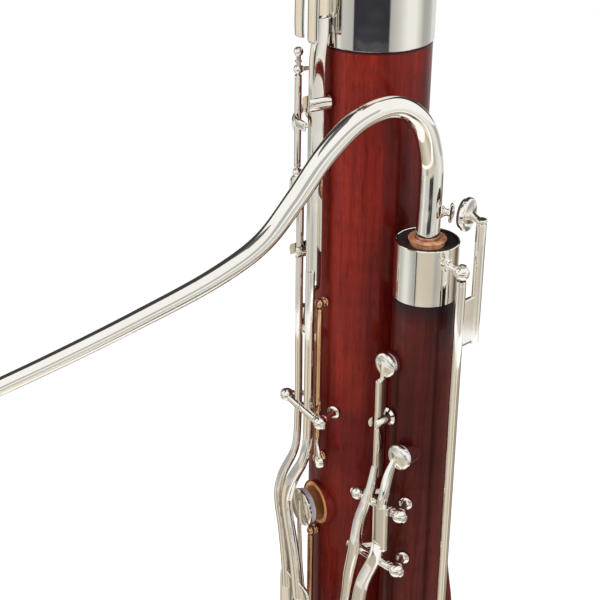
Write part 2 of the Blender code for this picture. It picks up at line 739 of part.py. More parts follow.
def wing_flare(x):
    """The flat wing that carries the slanted finger holes, drawn in side view and rounded."""
    data = bpy.data.curves.new("flare", "CURVE")
    data.dimensions = "2D"
    data.fill_mode = "BOTH"
    data.extrude = 4.6 * MM
    data.bevel_depth = FLARE_EDGE
    data.bevel_resolution = 0
    data.offset = -FLARE_EDGE
    reach = FLARE_REACH
    top, bottom = FLARE_TOP * MM, FLARE_BOTTOM * MM
    rise = 30 * MM
    outline = [(4 * MM, top + 6 * MM), (8 * MM, top + 2 * MM)]
    outline += [
        (8 * MM + (reach - 8 * MM) * (1 - math.cos(t)) / 2, top - rise * t / math.pi)
        for t in (math.pi * i / 6 for i in range(1, 7))
    ]
    outline += [
        (8 * MM + (reach - 8 * MM) * (1 + math.cos(t)) / 2, bottom + rise - rise * t / math.pi)
        for t in (math.pi * i / 6 for i in range(6))
    ]
    outline += [(8 * MM, bottom), (4 * MM, bottom)]
    spline = data.splines.new("POLY")
    spline.points.add(len(outline) - 1)
    spline.use_cyclic_u = True
    for knot, (r, z) in zip(spline.points, outline):
        knot.co = (r, z, 0, 1)
    made = bpy.data.objects.new("flare", data)
    CUTTERS.objects.link(made)
    shape = baked(made)
    upright = Matrix.Rotation(math.radians(90), 4, "X")
    facing = Matrix.Rotation(math.radians(FLARE_ANGLE), 4, "Z")
    shape.data.transform(Matrix.Translation((x, 0, WING_TOP)) @ facing @ upright)
    return shape


def make_bell():
    x = -SPACING / 2
    socket = BELL_TENON_RADIUS + WRAP + GAP
    ferrule_inner = BELL_FERRULE_RADIUS - FERRULE_WALL
    core = ferrule_inner - GAP
    base = BELL_JOIN + GAP
    low, high = BELL_WOOD_LOW, BELL_WOOD_HIGH
    rim_top = BELL_TOP - 1.0 * MM
    rim = BELL_PROFILE[-1][1] * MM - 1.2 * MM
    profile = [(rim, rim_top), (rim, high + GAP)]
    profile += [(radius * MM, low + (high - low) * share + GAP) for share, radius in reversed(BELL_PROFILE)]
    profile += [
        (core, low + GAP),
        (core, base),
        (socket, base),
        (socket, BELL_JOIN + BELL_TENON_LENGTH + 2 * GAP),
        (BELL_BORE_LOW, BELL_JOIN + BELL_TENON_LENGTH + 2 * GAP),
        (BELL_BORE_TOP, rim_top),
    ]
    wood = turned(profile, (x, 0, 0), sides=28, ring=True)
    frame = turned_with(BASS_FRAME)
    seat = rod(at(BELL_U, 13, BELL_Z), at(BELL_U, BELL_SEAT, BELL_Z), 4.9 * MM, sides=14)
    seat.data.transform(frame)
    wood = joined(wood, seat)
    placed(wood, "bell_joint", RED_WOOD, pivot=(x, 0, BELL_JOIN))
    tool = rod(at(BELL_U, 30, BELL_Z), at(BELL_U, 2, BELL_Z), 3.2 * MM, sides=10)
    tool.data.transform(Matrix.Translation(-wood.location) @ frame)
    tool.location = wood.location
    live_cut(wood, "b_flat_tone_hole", tool)
    ferrule = pipe(ferrule_inner, BELL_FERRULE_RADIUS, BELL_JOIN, low, (x, 0, 0), sides=28)
    placed(ferrule, "bell_lower_ferrule", SILVER, pivot=(x, 0, BELL_JOIN))
    ring_low = high + 2 * GAP
    outer = BELL_PROFILE[-1][1] * MM
    mouth = BELL_BORE_TOP + 0.4 * MM
    ring = [
        (outer, BELL_TOP),
        (outer + 0.7 * MM, BELL_TOP - 5 * MM),
        (outer, ring_low),
        (rim + GAP, ring_low),
        (rim + GAP, rim_top + GAP),
        (mouth, rim_top + GAP),
        (mouth, BELL_TOP),
    ]
    placed(turned(ring, (x, 0, 0), sides=20, ring=True), "bell_top_ring", SILVER, pivot=(x, 0, ring_low))


# Crook

CROOK_ROUTE = (  # (distance from the wing's axis, height above the wing top), mm
    (0, -22),
    (0, 2),
    (-0.3, 15),
    (0.3, 28),
    (4.6, 39.5),
    (14.5, 46.5),
    (27, 45),
    (38.5, 37),
    (50, 24),
    (61, 13),
    (76, 5.8),
    (104, -2),
    (130, -8),
    (150, -12),
)


def crook_places(end_share=0.0):
    turn = math.radians(CROOK_HEADING)
    out = Vector((math.cos(turn), math.sin(turn), 0))
    places = [out * s * MM + Vector((0, 0, z * MM)) for s, z in CROOK_ROUTE]
    places[0] += Vector((0, 0, -end_share * MM))
    places[-1] += (places[-1] - places[-2]).normalized() * end_share * MM
    return places


def crook_shares(base, tip, places):
    lengths = [0.0]
    for a, b in zip(places, places[1:]):
        lengths.append(lengths[-1] + (b - a).length)
    return [(base + (tip - base) * length / lengths[-1]) / base for length in lengths]


def make_crook():
    places = crook_places()
    tube = wire(places, CROOK_BASE_RADIUS, crook_shares(CROOK_BASE_RADIUS, CROOK_TIP_RADIUS, places))
    longer = crook_places(1.0)
    bore_base = CROOK_BASE_RADIUS - 0.7 * MM
    bore = wire(longer, bore_base, crook_shares(bore_base, CROOK_TIP_BORE, longer), resolution=3, detail=1)
    placed(cut(tube, bore), "crook", SILVER, WING_AXIS)
    sleeve = [
        (CORK_RADIUS - 0.4 * MM, CORK_COLLAR),
        (CORK_RADIUS, CORK_COLLAR * 0.6),
        (CORK_RADIUS, 0.0),
        (RECEIVER_BORE - GAP, 0.0),
        (RECEIVER_BORE - GAP, -20 * MM),
        (CROOK_BASE_RADIUS + GAP, -20 * MM),
        (CROOK_BASE_RADIUS + GAP, CORK_COLLAR * 0.8),
    ]
    placed(turned(sleeve, sides=28, ring=True), "crook_cork", CORK, WING_AXIS)
    turn = math.radians(VENT_ANGLE)
    out = Vector((math.cos(turn), math.sin(turn), 0))
    centre = Vector((0, 0, VENT_HEIGHT * MM))
    foot = CROOK_BASE_RADIUS + 0.2 * MM
    nipple = [
        (VENT_HEAD_RADIUS * 0.8, VENT_REACH),
        (VENT_HEAD_RADIUS, VENT_REACH - 0.5 * MM),
        (VENT_HEAD_RADIUS, VENT_REACH - 1.0 * MM),
        (1.2 * MM, VENT_REACH - 1.6 * MM),
        (1.2 * MM, foot + 0.9 * MM),
        (2.0 * MM, foot + 0.15 * MM),
        (2.0 * MM, foot),
        (0.5 * MM, foot),
        (0.5 * MM, VENT_REACH),
    ]
    placed(turned(nipple, centre, out, sides=16, ring=True), "crook_vent_nipple", SILVER, WING_AXIS, centre)


# Tone holes and key places, in mm

E_HOLE_U, E_HOLE_Z = -12, 168
F_HOLE_U, F_HOLE_Z = 10, 105
BOOT_SEAT = 18.6
E_FLAT_U, E_FLAT_Z, E_FLAT_SEAT = -9.6, 8, 18.9
LOW_B_ANGLE, LOW_B_Z, LOW_B_SEAT = -75, 31, 19.3
C_SHARP_ANGLE, C_SHARP_Z, C_SHARP_SEAT = -40, -41, 19.0
LOW_C_ANGLE, LOW_C_Z, LOW_C_SEAT = -33, -164, 18.8
LOW_D_FLOOR, LOW_D_SEAT = 15.4, 19.5
LOW_D_RING, LOW_D_RING_WIDTH = 7.9 * MM, 1.8 * MM
HIGH_C_U, HIGH_C_Z = -3.5, -41.8
HIGH_A_U, HIGH_A_Z = 4.2, -73.6
WING_SEAT = 11.2
BELL_U, BELL_Z, BELL_SEAT = 4, 160, 18.0
WHISPER_TOP, WHISPER_FOOT = -5.2, -181
WHISPER_PAD, WHISPER_RISER = 4.8 * MM, 1.7 * MM


def make_whisper_key():
    x, y = WHISPER_X, WHISPER_Y
    pivot = Vector((x * MM, y * MM, 0))
    turn = math.radians(VENT_ANGLE)
    out = Vector((math.cos(turn), math.sin(turn), 0))
    seat = out * VENT_REACH + Vector((0, 0, VENT_HEIGHT * MM))
    pad, cup_shape, cup_top = pad_and_cup(seat, out, WHISPER_PAD)
    riser = (x - 2.5, 7.5 + y)
    rise = lambda z: Vector((riser[0] * MM, riser[1] * MM, z * MM))
    middle = Vector(((x + riser[0]) / 2 * MM, (y + riser[1]) / 2 * MM, -23.5 * MM))
    lean = math.degrees(math.atan2(riser[1] - y, riser[0] - x))
    pieces = [
        cup_shape,
        rod(rise(-32), rise(VENT_HEIGHT + 0.8), WHISPER_RISER, sides=10),
        rod(rise(VENT_HEIGHT - 0.4), cup_top - out * 0.5 * MM, 1.1 * MM, 1.5 * MM, sides=10),
        block(middle, (8.4 * MM, 1.3 * MM, 17 * MM), lean),
    ]
    upper = joined(pieces[1], pieces[0], *pieces[2:])
    swung(upper, pivot, (0, 0, 1), -WHISPER_OPEN)
    swung(pad, pivot, (0, 0, 1), -WHISPER_OPEN)
    z = -168
    lower = arm([(17.3, 1.4, z), (18.0, 8, z), (16.6, 13.4, z), (14.4, 16.0, z), (11.4, 16.4, z)], 3.2, 1.4)
    start, end = between_balls((x, -y, WHISPER_TOP), (x, -y, WHISPER_FOOT), BALL)
    key("whisper_key", WING_AXIS, pivot + Vector((0, 0, VENT_HEIGHT * MM)), (start, end), [upper, lower])
    placed(pad, "whisper_pad", PAD_SKIN, WING_AXIS, pivot + Vector((0, 0, VENT_HEIGHT * MM)))
    rod_top = at(x, -y, WHISPER_TOP - (BALL + GAP) / MM)
    reach = math.hypot(x, y)
    foot = (wing_radius(WHISPER_FOOT) + 0.3) / reach
    holder = post(at(x, -y, WHISPER_FOOT), at(x * foot, -y * foot, WHISPER_FOOT))
    shape = joined(rod(rod_top, at(x, -y, WHISPER_FOOT), ROD, sides=10), holder)
    placed(shape, "whisper_axle", SILVER, WING_AXIS, at(x, -y, WHISPER_FOOT))


def make_whisper_touch():
    hinge = (4.5, 17.2)
    start, end = (*hinge, -158), (*hinge, -180)
    tube = between_balls(start, end, SLIM_BALL)
    pieces = [
        arm([(4.5, 17.2, -168), (8, 16.0, -168), (12.6, 14.4, -168)], 3.0, 1.2),
        arm([(4.2, 17.3, -171), (0, 18.6, -171), (-4, 19.8, -171)], 3.0, 1.4),
        touch_plate(-4.6, 20.2, -171, 9, 12),
    ]
    key("whisper_touch", WING_AXIS, at(*hinge, -168), tube, pieces, slim=True)
    axle("whisper_touch_axle", WING_AXIS, start, end, wing_radius, slim=True)


def make_wing_keys():
    pivot_z, pivot_out = -93, 17
    start, end = (-10.4, pivot_out, pivot_z), (8.7, pivot_out, pivot_z)
    seat = at(HIGH_C_U, WING_SEAT, HIGH_C_Z)
    pad, cup_shape, top = pad_and_cup(seat, (0, -1, 0), 3.6 * MM)
    blade = bar([(-3.45, 15.2, -46.2), (-3.4, 15.2, -60), (-3.4, 15.2, -84)], 1.9, 4.4, smooth=False)
    lever = bar(
        [
            (-3.5, 16.5, -79, 0.55),
            (-4.1, 17.5, -88, 0.8),
            (-5.6, 18.2, -95),
            (-6.4, 19.9, -100.5),
            (-6.3, 22.2, -111),
            (-8.2, 22.4, -122.5),
            (-9.2, 22.7, -135),
            (-12.6, 23.2, -147),
        ],
        3.8,
        2.2,
    )
    ridge = bar([(HIGH_C_U, 14.6, HIGH_C_Z + 2.2), (HIGH_C_U, 14.7, HIGH_C_Z - 6)], 1.7, 1.5, smooth=False)
    plate = touch_plate(-13.6, 23.4, -153, 8.4, 15)
    tube = between_balls(start, end, BALL)
    pivot = at(HIGH_C_U, pivot_out, pivot_z)
    key("high_c_key", WING_FRAME, pivot, tube, [cup_shape, blade, ridge, lever, plate])
    placed(pad, "high_c_pad", PAD_SKIN, WING_FRAME, pivot)
    axle("high_c_axle", WING_FRAME, start, end, wing_radius)
    guide("high_c_lever_guide", WING_FRAME, -3.4, -62, wing_radius(-62), 1.9, 17.4, 13.0)

    pivot_z = -115.2
    start, end = (-11.4, pivot_out, pivot_z), (8.5, pivot_out, pivot_z)
    seat = at(HIGH_A_U, WING_SEAT, HIGH_A_Z)
    pad, cup_shape, top = pad_and_cup(seat, (0, -1, 0), 3.8 * MM)
    stem = bar([(3.9, 15.0, -73.6, 0.6), (3.3, 17.4, -80), (3.9, 19.7, -85.5), (3.5, 20.3, -90.6)], 2.6, 3.4)
    web = bar([(3.3, 20.4, -89.6), (3.0, 20.0, -97), (2.4, 19.2, -108)], 6.0, 2.4)
    lever = bar(
        [
            (2.4, 19.2, -105),
            (-0.6, 18.2, -115),
            (-3.4, 20.6, -124.5),
            (-3.8, 22.2, -134),
            (-4.4, 22.8, -150),
        ],
        5.0,
        2.2,
    )
    plate = touch_plate(-4.5, 23.0, -155, 7.6, 15)
    tube = between_balls(start, end, BALL)
    pivot = at(0, pivot_out, pivot_z)
    key("high_a_key", WING_FRAME, pivot, tube, [cup_shape, stem, web, lever, plate])
    placed(pad, "high_a_pad", PAD_SKIN, WING_FRAME, pivot)
    axle("high_a_axle", WING_FRAME, start, end, wing_radius)


def make_long_levers():
    """The two long levers that rock on one axle across the bass joint."""
    z, out = LEVER_AXLE_Z, LEVER_AXLE_OUT
    start, end = (-9.9, out, z), (12.2, out, z)
    axle("lever_axle", BASS_FRAME, start, end, bass_radius)
    seat = at(E_FLAT_U, E_FLAT_SEAT, E_FLAT_Z)
    pad, cup_shape, top = pad_and_cup(seat, (0, -1, 0), 4.6 * MM)
    e_flat = bar(
        [
            (-3.2, 24.2, 12.5, 0.8),
            (-3.2, 24.2, -30, 0.8),
            (-3.0, 24.2, -76, 0.8),
            (-2.9, 25.3, -86, 0.85),
            (-6.6, 28.0, -97, 0.95),
            (-6.9, 29.5, -104),
            (-6.0, 29.8, -110),
            (-4.3, 29.7, -116),
            (-2.6, 29.6, -125),
            (-1.4, 29.5, -134),
            (-0.4, 29.6, -142),
        ],
        3.6,
        2.7,
    )
    bracket = arm([(-3.0, 23.9, 8), (-6.4, 23.3, 8), (E_FLAT_U, 21.9, 8)], 4.0, 1.4)
    plate = touch_plate(0.1, 29.6, -148, 9, 27)
    tube = (between_balls(start, end, BALL)[0], (LEVER_SPLIT, out, z))
    pivot = at(-3.2, out, z)
    key("e_flat_key", BASS_FRAME, pivot, tube, [cup_shape, e_flat, bracket, plate])
    placed(pad, "e_flat_pad", PAD_SKIN, BASS_FRAME, pivot)
    guide("e_flat_lever_guide", BASS_FRAME, -3.2, -10.2, bass_radius(-10.2), 2.9, 25.5, 22.9)

    u = 3.7
    blade = bar([(u, 22.7, -22), (u, 22.7, 50), (u, 22.4, 56), (u, 21.6, 62), (u, 21.5, 67)], 3.4, 5.2)
    dressed = cut(blade, block(at(3.7, 19.2, 20), (6 * MM, 1.2 * MM, 120 * MM)))
    b_flat = bar(
        [
            (3.7, 24.1, -14, 0.8),
            (3.7, 24.1, -74, 0.8),
            (4.1, 24.7, -81, 0.8),
            (4.4, 26.5, -87, 0.85),
            (2.2, 28.3, -93, 0.95),
            (0.1, 29.5, -99.5),
            (-0.8, 29.8, -105),
            (0.7, 29.8, -112),
            (3.2, 29.6, -121),
            (5.4, 29.4, -131),
            (7.4, 29.5, -142),
        ],
        4.2,
        3.0,
    )
    plate = touch_plate(10.2, 29.6, -148, 9.6, 27)
    tube = ((LEVER_SPLIT + GAP / MM, out, z), between_balls(start, end, BALL)[1])
    key("b_flat_lever", BASS_FRAME, at(3.7, out, z), tube, [dressed, b_flat, plate])
    guide("b_flat_lever_guide", BASS_FRAME, 3.7, 42, bass_radius(42), 3.4, 25.3, 20.1)


def make_low_b_key():
    hinge = (-4.0, 25.0)
    start, end = (*hinge, 51), (*hinge, 16.8)
    pivot = at(*hinge, LOW_B_Z)
    seat = round_at(LOW_B_ANGLE, LOW_B_SEAT, LOW_B_Z)
    out = round_at(LOW_B_ANGLE, 1, 0)
    pad, cup_shape, top = pad_and_cup(seat, out, 4.5 * MM)
    carrier = arm(
        [
            (*hinge, LOW_B_Z),
            (-10.3, 22.1, LOW_B_Z),
            (-15.0, 17.8, LOW_B_Z),
            (-18.8, 13.1, LOW_B_Z),
            (-21.0, 8.5, LOW_B_Z),
            (-21.6, 5.8, LOW_B_Z),
        ],
        3.4,
        1.4,
    )
    upper = joined(carrier, cup_shape)
    swung(upper, pivot, (0, 0, 1), LOW_B_OPEN)
    swung(pad, pivot, (0, 0, 1), LOW_B_OPEN)
    tail = arm([(*hinge, 35.5), (-1.5, 27.4, 35.5), (2.0, 28.0, 35.5), (5.4, 28.0, 35.5)], 3.4, 1.3)
    nub = rod(at(4.6, 28.0, 35.5), at(4.6, 26.9, 35.5), 0.8 * MM)
    tube = between_balls(start, end, SLIM_BALL)
    key("low_b_key", BASS_FRAME, pivot, tube, [upper, tail, nub], slim=True)
    placed(pad, "low_b_pad", PAD_SKIN, BASS_FRAME, pivot)
    crown = ball(at(*hinge, 56.6), SLIM_BALL)
    neck = rod(at(*hinge, 51), at(*hinge, 56.6), 0.8 * MM, sides=10)
    posts = [radial_post(*place, bass_radius(place[2]), SLIM_BALL, True) for place in (start, end)]
    shape = joined(rod(at(*start), at(*end), SLIM_ROD, sides=8), *posts, neck, crown)
    placed(shape, "low_b_axle", SILVER, BASS_FRAME, at(*start))


def make_c_sharp_key():
    hinge = (4.6, 20.9)
    start, end = (*hinge, -27.4), (*hinge, -87)
    pivot = at(*hinge, C_SHARP_Z)
    seat = round_at(C_SHARP_ANGLE, C_SHARP_SEAT, C_SHARP_Z)
    pad, cup_shape, top = pad_and_cup(seat, round_at(C_SHARP_ANGLE, 1, 0), 3.9 * MM)
    carrier = arm(
        [
            (*hinge, C_SHARP_Z),
            (0, 20.9, C_SHARP_Z),
            (-5, 20.8, C_SHARP_Z),
            (-9.5, 20.2, C_SHARP_Z),
            (-13.6, 17.6, C_SHARP_Z),
        ],
        3.2,
        1.1,
    )
    touch = arm([(*hinge, -79), (7.2, 22.3, -81), (9.6, 22.8, -84.5)], 2.4, 1.4)
    button = rod(at(9.6, 22.5, -85.5), at(9.6, 24.0, -85.5), 2.3 * MM, 2.0 * MM, sides=12)
    tube = between_balls(start, end, SLIM_BALL)
    key("c_sharp_key", BASS_FRAME, pivot, tube, [carrier, cup_shape, touch, button], slim=True)
    placed(pad, "c_sharp_pad", PAD_SKIN, BASS_FRAME, pivot)
    axle("c_sharp_axle", BASS_FRAME, start, end, bass_radius, slim=True)


def make_low_d_key():
    z, out = LOW_D_PIVOT_Z, 24.6
    start, end = (-1.6, out, z), (9.2, out, z)
    pivot = at(4.2, out, z)
    seat = at(LOW_D_U, LOW_D_SEAT, LOW_D_Z)
    pad, cup_shape, top = pad_and_cup(seat, (0, -1, 0), LOW_D_PAD)
    stem = bar(
        [
            (LOW_D_U, 22.9, LOW_D_Z + 3.5),
            (LOW_D_U, 23.2, LOW_D_Z - 5.5),
            (1.3, 23.0, -124),
            (1.5, 22.9, -133),
            (2.8, 22.9, -143),
            (4.0, 23.0, -154),
            (4.2, 23.4, -168),
            (4.2, 24.2, -190),
            (4.2, 24.6, z),
        ],
        2.0,
        1.3,
    )
    riser = rod(at(4.2, 23.4, -171), at(4.2, 26.2, -171), 1.5 * MM)
    plate = touch_plate(4.4, 26.4, -171, 10, 13)
    upper = joined(stem, cup_shape, riser, plate)
    swung(upper, pivot, (1, 0, 0), LOW_D_OPEN)
    swung(pad, pivot, (1, 0, 0), LOW_D_OPEN)
    tube = between_balls(start, end, SLIM_BALL)
    key("low_d_key", BASS_FRAME, pivot, tube, [upper], slim=True)
    placed(pad, "low_d_pad", PAD_SKIN, BASS_FRAME, pivot)
    axle("low_d_axle", BASS_FRAME, start, end, bass_radius, slim=True)


def make_low_c_key():
    hinge = (1.1, 20.7)
    start, end = (*hinge, -119.6), (*hinge, -197)
    pivot = at(*hinge, LOW_C_Z)
    seat = round_at(LOW_C_ANGLE, LOW_C_SEAT, LOW_C_Z)
    pad, cup_shape, top = pad_and_cup(seat, round_at(LOW_C_ANGLE, 1, 0), 4.9 * MM)
    z = LOW_C_Z
    carrier = arm([(*hinge, z), (-4, 22.2, z), (-9.4, 21.4, z), (-12.2, 18.9, z)], 3.4, 1.4)
    reach = arm([(*hinge, -185), (-1.0, 23.2, -185), (-5.0, 26.2, -185)], 3.4, 1.4)
    plate = touch_plate(-5.4, 26.6, -185, 10, 13)
    upper = joined(carrier, cup_shape, reach, plate)
    swung(upper, pivot, (0, 0, 1), LOW_C_OPEN)
    swung(pad, pivot, (0, 0, 1), LOW_C_OPEN)
    tube = between_balls(start, end, SLIM_BALL)
    key("low_c_key", BASS_FRAME, pivot, tube, [upper], slim=True)
    placed(pad, "low_c_pad", PAD_SKIN, BASS_FRAME, pivot)
    axle("low_c_axle", BASS_FRAME, start, end, bass_radius, slim=True)


def make_bell_key():
    z, out = 118, 24.2
    start, end = (-6.5, out, z), (11.5, out, z)
    pivot = at(BELL_U, out, z)
    seat = at(BELL_U, BELL_SEAT, BELL_Z)
    pad, cup_shape, top = pad_and_cup(seat, (0, -1, 0), 4.6 * MM)
    knots = [(4.6, 24.4, 116), (4.4, 23.8, 130), (BELL_U, 21.6, BELL_Z - 4), (BELL_U, 21.2, BELL_Z + 3)]
    stem = bar(knots, 2.6, 1.7)
    upper = joined(stem, cup_shape)
    swung(upper, pivot, (1, 0, 0), BELL_OPEN)
    swung(pad, pivot, (1, 0, 0), BELL_OPEN)
    tail = bar([(4.8, 24.9, 120), (5.0, 25.3, 90), (5.2, 25.5, 61.5)], 5.4, 1.5, smooth=False)
    prong = bar([(-1.6, 25.9, 84), (-1.6, 26.3, 66), (-1.4, 26.2, 62)], 5.0, 1.3)
    bridge = arm([(6.0, 25.4, 80), (1.5, 25.8, 80), (-3.0, 26.1, 80)], 7.0, 1.3)
    tube = between_balls(start, end, SLIM_BALL)
    key("bell_key", BASS_FRAME, pivot, tube, [upper, tail, prong, bridge], slim=True)
    placed(pad, "bell_pad", PAD_SKIN, BASS_FRAME, pivot)
    axle("bell_axle", BASS_FRAME, start, end, bell_radius, slim=True)


def boot_post(u, out, z):
    return post(at(u, out, z), at(u, boot_radius(z) + 0.3, z), SLIM_BALL, slim=True)


def boot_axle(name, frame, start, end):
    shape = joined(rod(at(*start), at(*end), SLIM_ROD, sides=10), boot_post(*start), boot_post(*end))
    placed(shape, name, SILVER, frame, at(*start))


def make_boot_keys():
    z, out = 206, 24
    start, end = (-11, out, z), (5, out, z)
    pivot = at(-3, out, z)
    pad, cup_shape, top = pad_and_cup(at(E_HOLE_U, BOOT_SEAT, E_HOLE_Z), (0, -1, 0), 4.9 * MM)
    hole, height = E_HOLE_U, E_HOLE_Z
    tip = (hole, 22.2, height - 3)
    carrier = bar([(-5, 24, 207), (-8, 23.8, 192), (hole, 22.4, height + 3), tip], 2.6, 1.7)
    stem = bar([(0, 24, 207), (1.5, 24.6, 186), (3, 25.2, 160)], 2.8, 1.7)
    plate = touch_plate(3.4, 25.7, 152, 20, 20)
    upper = joined(carrier, cup_shape, stem, plate)
    swung(upper, pivot, (1, 0, 0), -E_OPEN)
    swung(pad, pivot, (1, 0, 0), -E_OPEN)
    key("low_e_key", BOOT_FRONT, pivot, between_balls(start, end, SLIM_BALL), [upper], slim=True)
    placed(pad, "low_e_pad", PAD_SKIN, BOOT_FRONT, pivot)
    boot_axle("low_e_axle", BOOT_FRONT, start, end)

    z = 160
    start, end = (-6, out, z), (12, out, z)
    pivot = at(3, out, z)
    pad, cup_shape, top = pad_and_cup(at(F_HOLE_U, BOOT_SEAT, F_HOLE_Z), (0, -1, 0), 4.9 * MM)
    hole, height = F_HOLE_U, F_HOLE_Z
    tip = (hole, 22.2, height - 3)
    carrier = bar([(6, 24, 161), (9, 23.6, 130), (hole, 22.4, height + 3), tip], 2.6, 1.7)
    stem = bar([(0, 24, 161), (-3.5, 24.8, 150), (-6, 25.2, 142)], 2.8, 1.7)
    plate = touch_plate(-7, 25.7, 134, 12, 20)
    upper = joined(carrier, cup_shape, stem, plate)
    swung(upper, pivot, (1, 0, 0), -F_OPEN)
    swung(pad, pivot, (1, 0, 0), -F_OPEN)
    key("low_f_key", BOOT_BACK, pivot, between_balls(start, end, SLIM_BALL), [upper], slim=True)
    placed(pad, "low_f_pad", PAD_SKIN, BOOT_BACK, pivot)
    boot_axle("low_f_axle", BOOT_BACK, start, end)


def make_strap_ring():
    z = 258
    face = boot_radius(z) + 0.5
    eye_out = face + 4.2
    plate = touch_plate(0, face + 0.75, z, 12, 18, thickness=1.0)
    lug = rod(at(-1.3, eye_out, z), at(1.3, eye_out, z), 2.9 * MM, sides=16)
    neck = block(at(0, face + 2.2, z), (2.2 * MM, 3.5 * MM, 4.6 * MM))
    shape = cut(joined(plate, neck, lug), rod(at(-3, eye_out, z), at(3, eye_out, z), 1.5 * MM, sides=14))
    placed(shape, "strap_ring_bracket", SILVER, BOOT_FRONT, at(0, face, z))
    radius = 7.0 * MM
    count = 20
    centre = at(0, eye_out, z) - Vector((0, 0, radius))
    ring = turned(
        [
            (radius + 0.95 * MM * math.cos(t), -0.95 * MM * math.sin(t))
            for t in (2 * math.pi * i / 6 for i in range(6))
        ],
        centre,
        (0, 1, 0),
        sides=count,
        ring=True,
    )
    placed(ring, "strap_ring", SILVER, BOOT_FRONT, at(0, eye_out, z))


make_boot()
make_boot_metal()
make_bass()
make_wing()
make_bell()
make_crook()
make_whisper_key()
make_whisper_touch()
make_wing_keys()
make_long_levers()
make_low_b_key()
make_c_sharp_key()
make_low_d_key()
make_low_c_key()
make_bell_key()
make_boot_keys()
make_strap_ring()

for leftover in CUTTERS.objects:
    leftover.hide_render = True
    leftover.display_type = "WIRE"
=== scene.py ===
"""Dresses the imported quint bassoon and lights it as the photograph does.

Pieces are modelled in millimetres: along a joint's thumb side, out from that joint's axis, and up from
the top of the wing joint or, on the boot, from its cap.
"""

import json
import math

import bmesh
import bpy
from mathutils import Matrix, Vector

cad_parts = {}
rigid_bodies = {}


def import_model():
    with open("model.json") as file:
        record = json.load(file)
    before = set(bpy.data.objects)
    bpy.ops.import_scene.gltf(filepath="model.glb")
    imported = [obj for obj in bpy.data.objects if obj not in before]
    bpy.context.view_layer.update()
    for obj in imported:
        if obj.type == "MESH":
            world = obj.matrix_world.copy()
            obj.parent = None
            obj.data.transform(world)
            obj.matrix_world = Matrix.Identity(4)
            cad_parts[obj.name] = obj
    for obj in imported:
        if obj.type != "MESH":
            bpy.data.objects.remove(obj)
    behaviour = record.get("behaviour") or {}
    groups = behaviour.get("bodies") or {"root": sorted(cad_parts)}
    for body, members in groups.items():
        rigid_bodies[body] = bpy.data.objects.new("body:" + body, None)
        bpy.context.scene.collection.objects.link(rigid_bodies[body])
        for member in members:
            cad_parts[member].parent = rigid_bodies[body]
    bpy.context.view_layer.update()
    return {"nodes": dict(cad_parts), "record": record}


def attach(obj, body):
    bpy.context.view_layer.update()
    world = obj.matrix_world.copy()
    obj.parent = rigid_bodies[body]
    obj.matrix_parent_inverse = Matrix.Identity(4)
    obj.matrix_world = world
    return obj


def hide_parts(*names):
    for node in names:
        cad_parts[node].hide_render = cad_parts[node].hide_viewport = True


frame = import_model()

MM = 0.001
HALF_SPACING = 14.7
WING_TOP = 600.0
GAP = 0.3

# Camera
CAMERA_PLACE = (0.3319, -0.2988, 0.7893)
CAMERA_AZIMUTH, CAMERA_ELEVATION, CAMERA_ROLL = 52.0, 25.97, 0.715
CAMERA_LENS = 89.46


def make_camera():
    data = bpy.data.cameras.new("camera")
    data.lens = CAMERA_LENS
    data.sensor_width = 36
    data.clip_start = 0.01
    camera = bpy.data.objects.new("camera", data)
    bpy.context.scene.collection.objects.link(camera)
    a, e = math.radians(CAMERA_AZIMUTH), math.radians(CAMERA_ELEVATION)
    back = Vector((math.sin(a) * math.cos(e), -math.cos(a) * math.cos(e), math.sin(e)))
    turn = back.to_track_quat("Z", "Y").to_matrix() @ Matrix.Rotation(math.radians(CAMERA_ROLL), 3, "Z")
    camera.matrix_world = Matrix.Translation(CAMERA_PLACE) @ turn.to_4x4()
    bpy.context.scene.camera = camera


# Materials

class Value:
    """A number that varies over a surface; arithmetic on it adds Math nodes."""

    def __init__(self, finish, socket):
        self.finish, self.socket = finish, socket

    def math(self, operation, *values):
        return self.finish.node("ShaderNodeMath", {"operation": operation}, dict(enumerate(values)))

    def __add__(self, other):
        return self.math("ADD", self, other)

    def __radd__(self, other):
        return self.math("ADD", other, self)

    def __sub__(self, other):
        return self.math("SUBTRACT", self, other)

    def __rsub__(self, other):
        return self.math("SUBTRACT", other, self)

    def __mul__(self, other):
        return self.math("MULTIPLY", self, other)

    def __rmul__(self, other):
        return self.math("MULTIPLY", other, self)

    def __truediv__(self, other):
        return self.math("DIVIDE", self, other)

    def share(self, low, high):
        """0 at low and below, 1 at high and above."""
        return self.finish.node("ShaderNodeClamp", {}, {"Value": (self - low) / (high - low)})

    def ramp(self, *stops):
        return self.finish.node("ShaderNodeValToRGB", {"stops": stops}, {"Fac": self})


